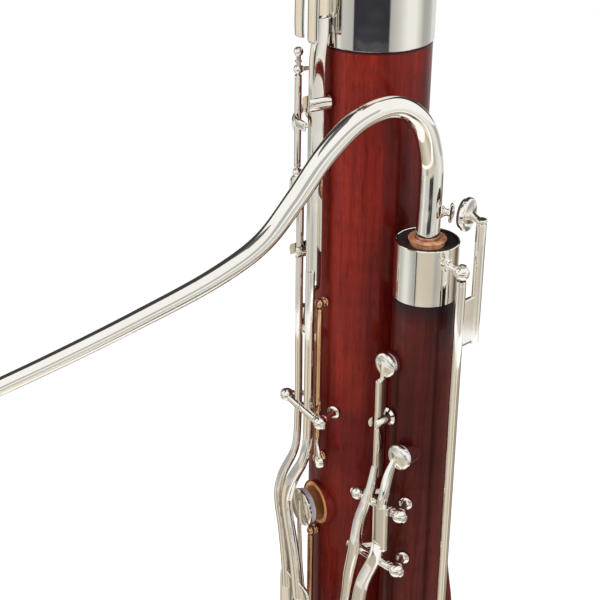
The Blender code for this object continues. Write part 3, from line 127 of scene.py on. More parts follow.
class Finish:
    """A material, or the world, whose nodes come from plain expressions."""

    def __init__(self, name, kind="materials"):
        self.material = getattr(bpy.data, kind).new(name)
        self.material.use_nodes = True
        self.tree = self.material.node_tree
        self.place = self.node("ShaderNodeTexCoord", {}, {}, "Object")
        axes = self.node("ShaderNodeSeparateXYZ", {}, {"Vector": self.place})
        self.x, self.y, self.z = (Value(self, axes.socket.node.outputs[i]) for i in range(3))

    def node(self, kind, settings, sockets, output=0):
        made = self.tree.nodes.new(kind)
        for name, value in settings.items():
            if name == "stops":
                elements = made.color_ramp.elements
                while len(elements) < len(value):
                    elements.new(0.5)
                for element, (place, colour) in zip(elements, value):
                    element.position = place
                    element.color = (*colour, 1)
            else:
                setattr(made, name, value)
        self.fill(made, sockets)
        return Value(self, made.outputs[output])

    def fill(self, node, sockets):
        for name, value in sockets.items():
            socket = node.inputs[name]
            if isinstance(value, Value):
                self.tree.links.new(value.socket, socket)
            elif socket.type == "RGBA":
                socket.default_value = (*value, 1)
            else:
                socket.default_value = value

    def noise(self, scale, detail=4.0, stretch=(1, 1, 1), roughness=0.5, distortion=0.0):
        place = self.node("ShaderNodeMapping", {}, {"Vector": self.place, "Scale": stretch})
        sockets = {"Vector": place, "Scale": scale, "Detail": detail, "Roughness": roughness}
        sockets["Distortion"] = distortion
        return self.node("ShaderNodeTexNoise", {}, sockets)

    def mix(self, factor, a, b, blend="MIX"):
        settings = {"data_type": "RGBA", "blend_type": blend}
        return self.node("ShaderNodeMix", settings, {0: factor, 6: a, 7: b}, 2)

    def seen_directly(self):
        """1 for camera, glossy and transmission rays."""
        rays = [self.node("ShaderNodeLightPath", {}, {}, f"Is {kind} Ray") for kind in RAYS]
        return rays[0].math("MAXIMUM", rays[0].math("MAXIMUM", rays[0], rays[1]), rays[2])

    def bump(self, height, strength, distance):
        sockets = {"Height": height, "Strength": strength, "Distance": distance}
        return self.node("ShaderNodeBump", {}, sockets)

    def set(self, **sockets):
        shader = self.tree.nodes["Principled BSDF"]
        self.fill(shader, {name.replace("_", " "): value for name, value in sockets.items()})
        return self.material


RAYS = ("Camera", "Glossy", "Transmission")


def silver(name, bright, hazy):
    f = Finish(name)
    tint = f.mix(f.noise(60, 5).share(0.35, 0.7), bright, hazy)
    smear = f.noise(200, 6).share(0.3, 0.7)
    return f.set(
        Metallic=1.0,
        Base_Color=tint,
        Roughness=0.035 + smear * 0.055,
        Normal=f.bump(f.noise(150, 2), 0.02, 0.0002),
    )


def maple(name, dark, middle, light, streaks, painted_ferrule_shade):
    """Stained and oiled maple: long grain, dark pores, faint curls across it, and a painted shadow: a thin dark band
    just below a ferrule.
    """
    f = Finish(name)
    cloud = f.noise(26, 3, (1, 1, 0.32), distortion=0.5).share(0.3, 0.7)
    grain = f.noise(300, 7, (1, 1, 0.04), 0.62)
    streak = f.noise(95, 4, (1, 1, 0.022), 0.6)
    pores = f.noise(1300, 3, (1, 1, 0.14), 0.6)
    curls = f.noise(210, 2, (0.28, 0.28, 1), 0.5, 0.4)
    tone = cloud.ramp((0.0, dark), (0.5, middle), (1.0, light))
    tone = f.mix(0.85, tone, grain.ramp((0.34, (0.52, 0.42, 0.42)), (0.6, (1, 1, 1))), "MULTIPLY")
    tone = f.mix(streaks, tone, streak.ramp((0.34, (0.42, 0.32, 0.32)), (0.5, (1, 1, 1))), "MULTIPLY")
    tone = f.mix(0.5, tone, curls.ramp((0.36, (0.78, 0.72, 0.72)), (0.62, (1, 1, 1))), "MULTIPLY")
    tone = f.mix(0.45, tone, pores.ramp((0.36, (0.38, 0.3, 0.3)), (0.48, (1, 1, 1))), "MULTIPLY")
    # painted shade: the wood is darkened almost to black in a thin band just below the ferrule, where the ferrule's
    # shadow falls
    low, high, depth = painted_ferrule_shade
    shade = f.z.share(low, high) * (1 - f.z.share(high + 0.0004, high + 0.0006)) * depth
    tone = f.mix(shade, tone, (0.012, 0.008, 0.01))
    return f.set(
        Base_Color=tone,
        Roughness=0.34 + grain.share(0.3, 0.7) * 0.12,
        Specular_IOR_Level=0.08,
        Coat_Weight=0.24,
        Coat_Roughness=0.12,
        Normal=f.bump(grain, 0.07, 0.0002),
    )


def bare_maple():
    f = Finish("bare_maple")
    grain = f.noise(420, 6, (1, 1, 0.06), 0.6)
    tone = grain.ramp((0.35, (0.62, 0.24, 0.07)), (0.55, (0.82, 0.39, 0.14)), (0.7, (0.9, 0.5, 0.22)))
    return f.set(Base_Color=tone, Roughness=0.5 + grain * 0.2, Normal=f.bump(grain, 0.1, 0.0002))


def black_turned():
    f = Finish("black_liner")
    tone = f.noise(400, 4).ramp((0.3, (0.012, 0.008, 0.008)), (0.7, (0.028, 0.018, 0.018)))
    return f.set(Base_Color=tone, Roughness=0.4 + f.noise(500, 4) * 0.2)


def cork():
    f = Finish("cork")
    cells = f.noise(700, 3).ramp((0.42, (0.62, 0.5, 0.42)), (0.55, (1, 1, 1)))
    tone = f.noise(420, 6).ramp((0.3, (0.52, 0.2, 0.1)), (0.55, (0.8, 0.4, 0.22)), (0.75, (0.9, 0.54, 0.35)))
    return f.set(
        Base_Color=f.mix(0.6, tone, cells, "MULTIPLY"),
        Roughness=0.6 + f.noise(700, 4).share(0.3, 0.7) * 0.25,
        Normal=f.bump(f.noise(900, 5), 0.4, 0.0002),
    )


def pad_skin(name, dark, light):
    f = Finish(name)
    tone = f.noise(300, 5).ramp((0.3, dark), (0.7, light))
    return f.set(
        Base_Color=tone,
        Roughness=0.45 + f.noise(600, 4).share(0.3, 0.7) * 0.15,
        Normal=f.bump(f.noise(500, 5), 0.15, 0.0002),
    )


def thread():
    f = Finish("thread_wrap")
    wave = f.node("ShaderNodeTexWave", {"bands_direction": "Z"}, {"Vector": f.place, "Scale": 900.0}, 1)
    return f.set(
        Base_Color=wave.ramp((0.2, (0.12, 0.01, 0.01)), (0.8, (0.40, 0.05, 0.05))),
        Roughness=0.6 + wave * 0.2,
        Normal=f.bump(wave, 0.5, 0.0003),
    )


RED = ((0.10, 0.0045, 0.003), (0.215, 0.0135, 0.008), (0.345, 0.03, 0.016))
DARK = ((0.064, 0.0065, 0.005), (0.118, 0.0145, 0.0105), (0.165, 0.0225, 0.015))
FINISHES = {
    "silver": silver("silver_plate", (0.925, 0.90, 0.84), (0.88, 0.85, 0.785)),
    # silver tinted brown: the colour is a painted reflection of the red wood that these parts lie against
    "silver_painted_wood_reflection": silver("silver_painted_wood_reflection", (0.78, 0.53, 0.33), (0.6, 0.38, 0.22)),
    # the last numbers of each maple place its painted ferrule shadow: bottom and top height of the band in metres, and
    # how dark it is
    "red_maple": maple("red_maple", *RED, 0.5, (0.6583, 0.6586, 0.9)),
    "dark_maple": maple("dark_maple", *DARK, 0.2, (0.5735, 0.580, 0.85)),
    "bare_maple": bare_maple(),
    "black_liner": black_turned(),
    "cork": cork(),
    "pad": pad_skin("pad_skin", (0.52, 0.51, 0.54), (0.66, 0.65, 0.67)),
    "brown_pad": pad_skin("brown_pad", (0.045, 0.025, 0.015), (0.12, 0.07, 0.04)),
    "thread": thread(),
}

# Frames of the joints' thumb sides

FLARE_ANGLE = 66
WING_AXIS = Matrix.Translation((HALF_SPACING, 0, WING_TOP))
FRAMES = {
    "bass": Matrix.Translation((-HALF_SPACING, 0, WING_TOP)) @ Matrix.Rotation(math.radians(-7), 4, "Z"),
    "wing": WING_AXIS @ Matrix.Rotation(math.radians(6), 4, "Z"),
    "axis": WING_AXIS,
    "flare": WING_AXIS @ Matrix.Rotation(math.radians(FLARE_ANGLE), 4, "Z"),
    "front": Matrix.Identity(4),
    "back": Matrix.Rotation(math.pi, 4, "Z"),
}


def at(u, out, z):
    return Vector((u, -out, z))


def round_at(angle, reach, z):
    turn = math.radians(angle)
    return at(reach * math.sin(turn), reach * math.cos(turn), z)


def smooth_path(points, steps=3):
    """Places along a rounded route through the given points; a fourth number is a share of the section."""
    points = [Vector((*p[:3], p[3] if len(p) > 3 else 1.0)) for p in points]
    ends = [points[0] * 2 - points[1], *points, points[-1] * 2 - points[-2]]
    route = []
    for i in range(1, len(ends) - 2):
        a, b, c, d = ends[i - 1 : i + 3]
        ab, bc, cd = (b - a).length ** 0.5, (c - b).length ** 0.5, (d - c).length ** 0.5
        for k in range(steps):
            t = k / steps
            m1 = bc * ((b - a) / ab - (c - a) / (ab + bc) + (c - b) / bc)
            m2 = bc * ((c - b) / bc - (d - b) / (bc + cd) + (d - c) / cd)
            h1, h2 = 2 * t**3 - 3 * t**2 + 1, t**3 - 2 * t**2 + t
            h3, h4 = -2 * t**3 + 3 * t**2, t**3 - t**2
            route.append(b * h1 + m1 * h2 + c * h3 + m2 * h4)
    route.append(points[-1])
    return route


# Modelling by hand

def work_on(*things):
    """Leaves edit mode and selects only these objects, the last of them active."""
    if bpy.context.mode != "OBJECT":
        bpy.ops.object.mode_set(mode="OBJECT")
    bpy.ops.object.select_all(action="DESELECT")
    for thing in things:
        thing.select_set(True)
        bpy.context.view_layer.objects.active = thing


def blank():
    work_on()
    bpy.ops.object.add(type="MESH")
    return bpy.context.object


def edit(thing):
    """Opens a mesh with nothing in it selected, so that the next primitive is all that is."""
    if bpy.context.object != thing or bpy.context.mode != "EDIT_MESH":
        work_on(thing)
        bpy.ops.object.mode_set(mode="EDIT")
    bpy.ops.mesh.select_all(action="DESELECT")


def extrude(step):
    bpy.ops.mesh.extrude_region_move(TRANSFORM_OT_translate={"value": step})


def scale(factors, centre):
    bpy.ops.transform.resize(value=factors, center_override=centre)


def rotate(axis, angle, centre):
    basis = [list(row) for row in axis.to_track_quat("Z", "Y").to_matrix().transposed()]
    bpy.ops.transform.rotate(value=-angle, orient_axis="Z", orient_matrix=basis, center_override=centre)


def follow(route, side):
    """Moves the selected outline, drawn flat at the origin, to a route's start and extrudes it along."""
    turn, last = Matrix.Identity(3), Vector((0, 0, 0, 1))
    for i, place in enumerate(route):
        if i:
            extrude((place - last).xyz)
        else:
            bpy.ops.transform.translate(value=place.xyz)
        heading = (route[min(i + 1, len(route) - 1)] - route[max(i - 1, 0)]).xyz.normalized()
        across = (side - heading * heading.dot(side)).normalized()
        facing = Matrix((across, heading.cross(across), heading)).transposed()
        axis, angle = (facing @ turn.transposed()).to_quaternion().to_axis_angle()
        if angle > 0.002:
            rotate(axis, angle, place.xyz)
            turn = facing
        if abs(place.w - last.w) > 0.0001:
            scale((place.w / last.w,) * 3, place.xyz)
        last = place


def finish_with(thing, kind, **settings):
    """Adds a modifier and applies it."""
    work_on(thing)
    bpy.ops.object.modifier_add(type=kind)
    step = thing.modifiers[-1]
    for name, value in settings.items():
        setattr(step, name, value)
    bpy.ops.object.modifier_apply(modifier=step.name)


def close_ring():
    """Joins the two open edges of a turned wall."""
    bpy.ops.mesh.select_all(action="DESELECT")
    bpy.ops.mesh.select_non_manifold()
    bpy.ops.mesh.bridge_edge_loops()


class Piece:
    """One finished piece in the making, in a joint's frame."""

    def __init__(self, where):
        self.where = where
        self.body = blank()
        self.bars = []

    def turned(self, profile, foot=(0, 0, 0), axis=(0, 0, 1), sides=32, ring=False):
        """A circle extruded and scaled through (radius, height) steps; a ring has a wall with no ends."""
        edit(self.body)
        foot, axis = Vector(foot), Vector(axis).normalized()
        facing = axis.to_track_quat("Z", "Y").to_euler()
        radius, height = profile[0]
        fill = "NOTHING" if ring else "NGON"
        start = foot + axis * height
        bpy.ops.mesh.primitive_circle_add(vertices=sides, radius=radius, fill_type=fill, location=start, rotation=facing)
        for wide, level in profile[1:]:
            extrude(axis * (level - height))
            if wide:
                scale((wide / radius,) * 3, foot + axis * level)
            else:
                bpy.ops.mesh.merge(type="CENTER")
            radius, height = wide, level
        if ring:
            close_ring()

    def oval(self, profile, ring=False):
        """As turned, round the boot's two bores: the circle's left half is first moved over to the other."""
        edit(self.body)
        radius, height = profile[0]
        fill = "NOTHING" if ring else "NGON"
        start = (HALF_SPACING, 0, height)
        bpy.ops.mesh.primitive_circle_add(vertices=128, radius=radius, fill_type=fill, location=start)
        mesh = bmesh.from_edit_mesh(self.body.data)
        circle = [vert for vert in mesh.verts if vert.select]
        for vert in circle:
            vert.select = vert.co.x < HALF_SPACING - 0.01
        mesh.select_flush_mode()
        bpy.ops.transform.translate(value=(-2 * HALF_SPACING, 0, 0))
        bpy.ops.mesh.select_linked()
        for wide, level in profile[1:]:
            extrude((0, 0, level - height))
            across = (HALF_SPACING + wide) / (HALF_SPACING + radius)
            scale((across, wide / radius, 1), (0, 0, level))
            radius, height = wide, level
        if ring:
            close_ring()

    def rod(self, start, end, radius, end_radius=None, sides=28, soft=0.0):
        """A round rod; soft rounds its rims."""
        a, b = Vector(start), Vector(end)
        length = (b - a).length
        last = radius if end_radius is None else end_radius
        profile = [(radius, 0), (last, length)]
        if soft:
            profile = [(radius - soft, 0), (radius, soft), (last, length - soft), (last - soft, length)]
        self.turned(profile, a, b - a, sides)

    def ball(self, centre, radius):
        edit(self.body)
        bpy.ops.mesh.primitive_uv_sphere_add(segments=32, ring_count=18, radius=radius, location=centre)

    def bar(self, points, width, depth, side=(1, 0, 0), cut=0.45, steps=3):
        """A forged bar: an oblong with cut corners, drawn along its route and rounded by subdivision."""
        made = blank()
        edit(made)
        bpy.ops.mesh.primitive_plane_add(size=1)
        scale((width, depth, 1), (0, 0, 0))
        bpy.ops.mesh.bevel(offset=min(cut, width * 0.32, depth * 0.32), segments=1, affect="VERTICES")
        route = smooth_path([(*at(*p[:3]), *p[3:]) for p in points], steps)
        near_end = 0.35
        start = route[0].lerp(route[1], near_end / (route[1] - route[0]).length)
        end = route[-1].lerp(route[-2], near_end / (route[-2] - route[-1]).length)
        follow([route[0], start, *route[1:-1], end, route[-1]], Vector(side))
        finish_with(made, "SUBSURF", levels=2, render_levels=2)
        self.bars.append(made)

    def arm(self, points, height, thickness, cut=0.4):
        self.bar(points, height, thickness, (0, 0, 1), cut)

    def plate(self, u, out, z, width, height, thickness=1.3, dish=0.25):
        """A finger plate: a rounded oblong with soft rims, inset and sunk a little for the thumb."""
        edit(self.body)
        level, shrink = -0.5, 0.35
        centre = at(u, out + level * thickness, z)
        bpy.ops.mesh.primitive_plane_add(size=1, location=centre, rotation=(math.pi / 2, 0, 0))
        scale((width - 2 * shrink, 1, height - 2 * shrink), centre)
        bpy.ops.mesh.bevel(offset=min(width, height) * 0.4, segments=8, affect="VERTICES")
        for next_level, next_shrink in ((-0.35, 0.08), (0.0, 0.0), (0.35, 0.08), (0.5, 0.35)):
            extrude((0, (level - next_level) * thickness, 0))
            wide = (width - 2 * next_shrink) / (width - 2 * shrink)
            tall = (height - 2 * next_shrink) / (height - 2 * shrink)
            level, shrink = next_level, next_shrink
            scale((wide, 1, tall), at(u, out + level * thickness, z))
        bpy.ops.mesh.inset(thickness=min(width, height) * 0.2)
        bpy.ops.transform.translate(value=(0, dish, 0))

    def post(self, centre, foot, radius=2.45, slim=False):
        """A turned post: ball, ring, waisted neck and a stepped round foot."""
        centre, foot = Vector(centre), Vector(foot)
        up = centre - foot
        length = up.length
        wide = 2.3 * (0.75 if slim else 1)
        neck = radius * 0.42
        profile = [
            (wide, 0),
            (wide, 0.45),
            (wide * 0.93, 0.62),
            (wide * 0.62, 0.8),
            (wide * 0.55, 1.15),
            (neck * 1.05, min(1.9, length * 0.5)),
            (neck, length * 0.62),
            (neck * 1.05, length - radius * 1.12),
            (radius * 0.62, length - radius * 0.98),
            (radius * 0.66, length - radius * 0.9),
            (radius * 0.62, length - radius * 0.8),
        ]
        self.turned(profile, foot, up, 28)
        self.ball(centre, radius)

    def screw_end(self, centre, axis, radius):
        """A copy of the pivot screw's end, let into the outside of a ball."""
        work_on(SCREW_END)
        bpy.ops.object.duplicate()
        made = bpy.context.object
        turn = Vector(axis).to_track_quat("Z", "Y").to_matrix().to_4x4()
        made.matrix_world = Matrix.Translation(centre) @ turn @ Matrix.Scale(radius / WIDE, 4)
        bpy.ops.object.transform_apply()
        self.bars.append(made)

    def cup(self, centre, axis, radius, pad_depth=0.765, height=2.3, rim=0.35):
        """A domed cup with a rolled rim; centre is the middle of its open rim."""
        inner = radius - rim
        profile = [
            (inner, pad_depth),
            (inner, 0.08),
            (inner + 0.08, 0),
            (radius - 0.08, 0),
            (radius, 0.1),
            (radius, height * 0.5),
            (radius * 0.985, height * 0.6),
            (radius * 0.93, height * 0.7),
            (radius * 0.82, height * 0.79),
            (radius * 0.55, height * 0.9),
            (radius * 0.25, height * 0.975),
            (0, height),
        ]
        self.turned(profile, centre, axis, 56)

    def pad(self, seat, axis, radius, lift=0.2, height=1.7):
        low = Vector(seat) + Vector(axis).normalized() * lift
        profile = [(radius * 0.62, 0.12), (radius * 0.7, 0.0), (radius * 0.9, 0.0)]
        profile += [(radius - 0.05, 0.18), (radius, 0.4), (radius, height)]
        self.turned(profile, low, axis, 56)

    def swing(self, pivot, axis, degrees):
        """Turns what has been made so far about a hinge."""
        there = Matrix.Translation(pivot)
        turn = there @ Matrix.Rotation(math.radians(degrees), 4, Vector(axis)) @ there.inverted()
        work_on(*self.bars, self.body)
        for thing in (*self.bars, self.body):
            thing.matrix_world = turn
        bpy.ops.object.transform_apply()

    def closed(self):
        """Joins the bars to the rest, turns all faces outwards and puts the piece in its place, in metres."""
        work_on(*self.bars, self.body)
        if self.bars:
            bpy.ops.object.join()
        bpy.ops.object.mode_set(mode="EDIT")
        bpy.ops.mesh.select_all(action="SELECT")
        bpy.ops.mesh.normals_make_consistent(inside=False)
        bpy.ops.object.mode_set(mode="OBJECT")
        self.body.matrix_world = Matrix.Diagonal((MM, MM, MM, 1)) @ FRAMES[self.where]
        bpy.ops.object.transform_apply()
        return self.body

    def done(self, name, body, slot, *replaced, look=None, sharp=35, added=(), taken=()):
        """Finishes the piece; added pieces are joined to it and taken ones cut from it."""
        made = self.closed()
        for operation, tools in (("UNION", added), ("DIFFERENCE", taken)):
            for tool in tools:
                other = tool.closed()
                finish_with(made, "BOOLEAN", operation=operation, solver="EXACT", object=other)
                bpy.data.objects.remove(other, do_unlink=True)
        work_on(made)
        bpy.ops.object.shade_smooth_by_angle(angle=math.radians(sharp))
        made.name = made.data.name = name
        made.data.materials.clear()
        made.data.materials.append(FINISHES[look or slot])
        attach(made, body)
        if replaced:
            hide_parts(*replaced)


def cut_away(place, normal):
    """Cuts the shell last made along a plane and keeps the side that the normal points to."""
    bpy.ops.mesh.select_linked()
    bpy.ops.mesh.bisect(plane_co=place, plane_no=normal, use_fill=True, clear_inner=True)


SLIM, WIDE = 1.55, 2.45
TUBE, SLIM_TUBE = 1.6, 1.15


def slotted_screw():
    """The end of a pivot screw for a wide ball at the origin: a low disc under two halves, a slot between."""
    p = Piece("front")
    wide = 1.37
    p.turned([(wide, 2.16), (wide, 2.34)], sides=24)
    for way in (-1, 1):
        p.turned([(wide, 2.26), (wide, 2.52), (wide * 0.9, 2.6)], sides=24)
        cut_away((0.16 * way, 0, 0), (way, 0, 0))
    bpy.ops.object.mode_set(mode="OBJECT")
    return p.body


SCREW_END = slotted_screw()


# Surfaces that the posts stand on, in mm

def bass_radius(z):
    return 17.6 + 1.1 * (305 + z) / 364.3


def wing_radius(z):
    return 10.2 - 1.1 * z / 305


BELL_PROFILE = ((0.0, 17.9), (0.16, 17.2), (0.48, 16.4), (0.745, 16.2), (0.905, 17.2), (1.0, 19.4))


def bell_radius(z):
    share = (z - 85.3) / (885 - 11.7 - 685.3)
    for (low, start), (high, end) in zip(BELL_PROFILE, BELL_PROFILE[1:]):
        if share <= high:
            return start + (end - start) * max(share - low, 0) / (high - low)
    return 19.4


def boot_radius(z):
    return 16.2 + 1.6 * (z - 27.5) / 267.5


# Wooden body

def rows(profile, step=7.0):
    """The profile with points added along its long straight runs."""
    made = []
    for (r0, z0), (r1, z1) in zip(profile, profile[1:]):
        count = max(1, int(abs(z1 - z0) / step))
        made += [(r0 + (r1 - r0) * k / count, z0 + (z1 - z0) * k / count) for k in range(count)]
    return [*made, profile[-1]]


def seat_piece(where, inside, mouth, radius):
    """A raised round seat whose rim is softened."""
    p = Piece(where)
    a, b = Vector(inside), Vector(mouth)
    length = (b - a).length
    profile = [(radius, 0), (radius, length - 0.35), (radius - 0.1, length - 0.1), (radius - 0.35, length)]
    p.turned(profile, a, b - a, 40)
    return p


def hole_piece(where, mouth, inside, radius, sides=32):
    p = Piece(where)
    p.rod(mouth, inside, radius, sides=sides)
    return p


LOW_D_U, LOW_D_Z, LOW_D_FLOOR = 1.4, -108, 12.6


def bass_joint():
    p = Piece("bass")
    low, shoulder, top = 265 - WING_TOP, 295.8 - WING_TOP, 659.0 - WING_TOP
    profile = [
        (13.3, top + 24),
        (13.6, top + 23.7),
        (13.6, top),
        (18.7, top),
        (17.6, shoulder + 0.2),
        (17.4, shoulder),
        (11.4, shoulder),
        (11.4, low),
        (8.2, low),
        (10.2, top + 24),
    ]
    p.turned(rows(profile), sides=144, ring=True)
    seats = [seat_piece("bass", at(-9.6, 14, 8), at(-9.6, 18.9, 8), 4.9)]
    seats.append(seat_piece("bass", at(LOW_D_U, 14, LOW_D_Z), at(LOW_D_U, 19.3, LOW_D_Z), 8.3))
    holes = [
        hole_piece("bass", at(LOW_D_U, 30, LOW_D_Z), at(LOW_D_U, LOW_D_FLOOR, LOW_D_Z), 7.9, 64),
        hole_piece("bass", at(LOW_D_U, 30, LOW_D_Z), at(LOW_D_U, 2, LOW_D_Z), 4.8, 48),
        hole_piece("bass", at(-9.6, 30, 8), at(-9.6, 2, 8), 2.8),
    ]
    round_holes = ((-75, 31, 19.3, 4.9, 3.1), (-40, -41, 19.0, 4.2, 2.5), (-33, -164, 18.8, 5.3, 3.5))
    for angle, z, seat, wide, radius in round_holes:
        seats.append(seat_piece("bass", round_at(angle, 14, z), round_at(angle, seat, z), wide))
        holes.append(hole_piece("bass", round_at(angle, 30, z), round_at(angle, 2, z), radius))
    p.done("bass_joint_finish", "instrument", "red_maple", "bass_joint", added=seats, taken=holes)


def wing_flare():
    """The wing's flare: an oblong with rounded corners, extruded down and drawn out as its edge goes."""
    p = Piece("flare")
    edit(p.body)
    root = 4.0
    edge = [(-84, 5.5, 3.6), (-89, 9.4, 4.4), (-95, 11.2, 5.2), (-103, 11.6, 5.6), (-122, 12.2, 5.8)]
    edge += [(-140, 14.6, 5.8), (-165, 16.6, 5.8), (-235, 16.6, 5.8), (-255, 13.5, 5.4), (-268, 8, 3.6)]
    places = smooth_path(edge, 6)
    level, long, wide = places[0].x, places[0].y - root, 2 * places[0].z
    bpy.ops.mesh.primitive_plane_add(size=1, location=(root + long / 2, 0, level))
    scale((long, wide, 1), (root + long / 2, 0, level))
    bpy.ops.mesh.bevel(offset=min(long, wide) * 0.42, segments=7, affect="VERTICES")
    for place in places[1:]:
        extrude((0, 0, place.x - level))
        scale(((place.y - root) / long, 2 * place.z / wide, 1), (root, 0, place.x))
        level, long, wide = place.x, place.y - root, 2 * place.z
    return p


def wing_joint():
    p = Piece("axis")
    low, shoulder, step, liner_low = 271 - WING_TOP, 295.8 - WING_TOP, -19.5, -12.3
    core = 9.5
    profile = [
        (5.8, liner_low),
        (core, liner_low),
        (core, step),
        (10.0, step),
        (10.2, step - 0.2),
        (11.3, shoulder + 0.2),
        (11.1, shoulder),
        (7.4, shoulder),
        (7.4, low),
        (3.8, low),
        (2.45, -24),
        (5.8, -24),
    ]
    p.turned(rows(profile), sides=128, ring=True)
    seats = [
        wing_flare(),
        seat_piece("wing", at(-3.5, 7, -41.8), at(-3.5, 11.2, -41.8), 3.7),
        seat_piece("wing", at(4.2, 7, -73.6), at(4.2, 11.2, -73.6), 3.9),
    ]
    holes = [
        hole_piece("wing", at(-3.5, 30, -41.8), at(-3.5, 1, -41.8), 1.3),
        hole_piece("wing", at(4.2, 30, -73.6), at(4.2, 1, -73.6), 1.5),
    ]
    for i, height in enumerate((-138, -180, -222)):
        slant = (i - 1) * 8
        holes.append(hole_piece("flare", (30, 0, height), (1, 0, height - slant), 2.1))
    p.done("wing_joint_finish", "instrument", "dark_maple", "wing_joint", added=seats, taken=holes)


def bell_joint():
    p = Piece("bass")
    base, low, high = 59.6, 85.3, 273.3
    rim, rim_top, core, socket = 18.2, 284.0, 18.1, 14.9
    curve = smooth_path([(radius, 0, low + (high - low) * share) for share, radius in reversed(BELL_PROFILE)], 8)
    profile = [(rim, rim_top), (rim, high + GAP), *((place.x, place.z + GAP) for place in curve)]
    profile += [(core, low + GAP), (core, base), (socket, base), (socket, 84.0), (10.4, 84.0), (11.6, rim_top)]
    p.turned(rows(profile), sides=128, ring=True)
    seat = seat_piece("bass", at(4, 13, 160), at(4, 18.0, 160), 4.9)
    hole = hole_piece("bass", at(4, 30, 160), at(4, 2, 160), 3.2)
    p.done("bell_joint_finish", "instrument", "red_maple", "bell_joint", added=[seat], taken=[hole])


def boot_joint():
    p = Piece("front")
    low, high = 27.5, 295.0
    p.oval([(15.9, low), *((boot_radius(z), z) for z in range(28, 294, 7)), (boot_radius(high), high)])
    seats = [
        seat_piece("front", at(-12, 14, 168), at(-12, 18.6, 168), 5.6),
        seat_piece("back", at(10, 14, 105), at(10, 18.6, 105), 5.6),
    ]
    holes = [
        hole_piece("front", (-HALF_SPACING, 0, 26), (-HALF_SPACING, 0, 290), 5.8, 40),
        hole_piece("front", (HALF_SPACING, 0, 26), (HALF_SPACING, 0, 290), 5.4, 40),
        hole_piece("front", (-HALF_SPACING, 0, 264.7), (-HALF_SPACING, 0, 296), 12.6, 64),
        hole_piece("front", (HALF_SPACING, 0, 270.7), (HALF_SPACING, 0, 296), 8.6, 64),
        hole_piece("front", at(-12, 30, 168), at(-12, 2, 168), 3.6),
        hole_piece("back", at(10, 30, 105), at(10, 2, 105), 3.6),
        hole_piece("front", at(12, 30, 228), at(12, 2, 228), 2.2),
        hole_piece("back", at(-13, 30, 238), at(-13, 2, 238), 2.4),
        hole_piece("back", at(-13, 30, 208), at(-13, 2, 208), 2.4),
    ]
    p.done("boot_joint_finish", "instrument", "dark_maple", "boot_joint", added=seats, taken=holes)


def boot_metal():
    p = Piece("front")
    outer = [(15.4, 0.0), (16.6, 0.25), (17.1, 0.9), (17.15, 3.2), (16.95, 3.5), (16.95, 4.1), (17.15, 4.4)]
    outer += [(17.3, 33.2), (17.15, 33.5), (17.15, 34.1), (17.35, 34.4), (17.45, 37.6), (17.3, 38.0)]
    inner = [(16.65, 38.0), (16.55, 30), (16.5, 1.5), (16.2, 1.3)]
    p.oval(outer + inner)
    p.done("boot_cap_finish", "instrument", "silver", "boot_cap")
    p = Piece("front")
    band = [(18.05, 283.2), (18.05, 295.2), (18.2, 295.4), (18.9, 295.4), (19.0, 295.2), (18.98, 292.6), (18.8, 292.3)]
    band += [(18.8, 291.8), (18.97, 291.5), (18.95, 287.0), (18.8, 286.7), (18.8, 286.2), (18.94, 285.9), (18.9, 283.3)]
    band += [(18.7, 283.0), (18.2, 283.0)]
    p.oval(band, ring=True)
    p.done("boot_top_band_finish", "instrument", "silver", "boot_top_band")


# Keywork

def axle_piece(node, where, start, end, surface, slim=False, look="silver"):
    p = Piece(where)
    radius = SLIM if slim else WIDE
    a, b = at(*start), at(*end)
    along = (b - a).normalized()
    for place, way in ((start, -along), (end, along)):
        reach = math.hypot(place[0], place[1])
        foot = (surface(place[2]) + 0.3) / reach
        p.post(at(*place), at(place[0] * foot, place[1] * foot, place[2]), radius, slim)
        p.screw_end(at(*place), way, radius)
    p.rod(a, b, 0.45 if slim else 0.7)
    p.done(node + "_finish", "instrument", "silver", node, look=look)


def hinge_tube(p, start, end, radius, from_ball=None, to_ball=None):
    """A hinge tube with a turned bead near each end; the ball sizes keep it clear of the posts."""
    a, b = at(*start), at(*end)
    step = (b - a).normalized()
    low = a + step * ((from_ball + GAP) if from_ball else 0)
    high = b - step * ((to_ball + GAP) if to_ball else 0)
    length = (high - low).length
    profile = [
        (radius - 0.1, 0),
        (radius, 0.1),
        (radius, 0.9),
        (radius - 0.12, 1.0),
        (radius - 0.12, 1.15),
        (radius, 1.25),
        (radius, length - 1.25),
        (radius - 0.12, length - 1.15),
        (radius - 0.12, length - 1.0),
        (radius, length - 0.9),
        (radius, length - 0.1),
        (radius - 0.1, length),
    ]
    p.turned(profile, low, step, 32)


def cup_and_pad(where, seat, axis, radius, raised=0.0):
    """(piece with the cup, piece with the pad) resting on a seat; a raised cup shows more of its pad."""
    axis = Vector(axis).normalized()
    cup, pad = Piece(where), Piece(where)
    pad.pad(seat, axis, radius, height=1.7 + raised)
    cup.cup(Vector(seat) + axis * (0.2 + 1.7 - 0.765 + 0.3 + raised), axis, radius + 0.65, height=2.3 - raised)
    return cup, pad


def finish_key(cup, pad, name, leather="pad"):
    cup.done(name + "_key_finish", name + "_key", "silver", name + "_key")
    pad.done(name + "_pad_finish", name + "_key", "pad", name + "_pad", look=leather)


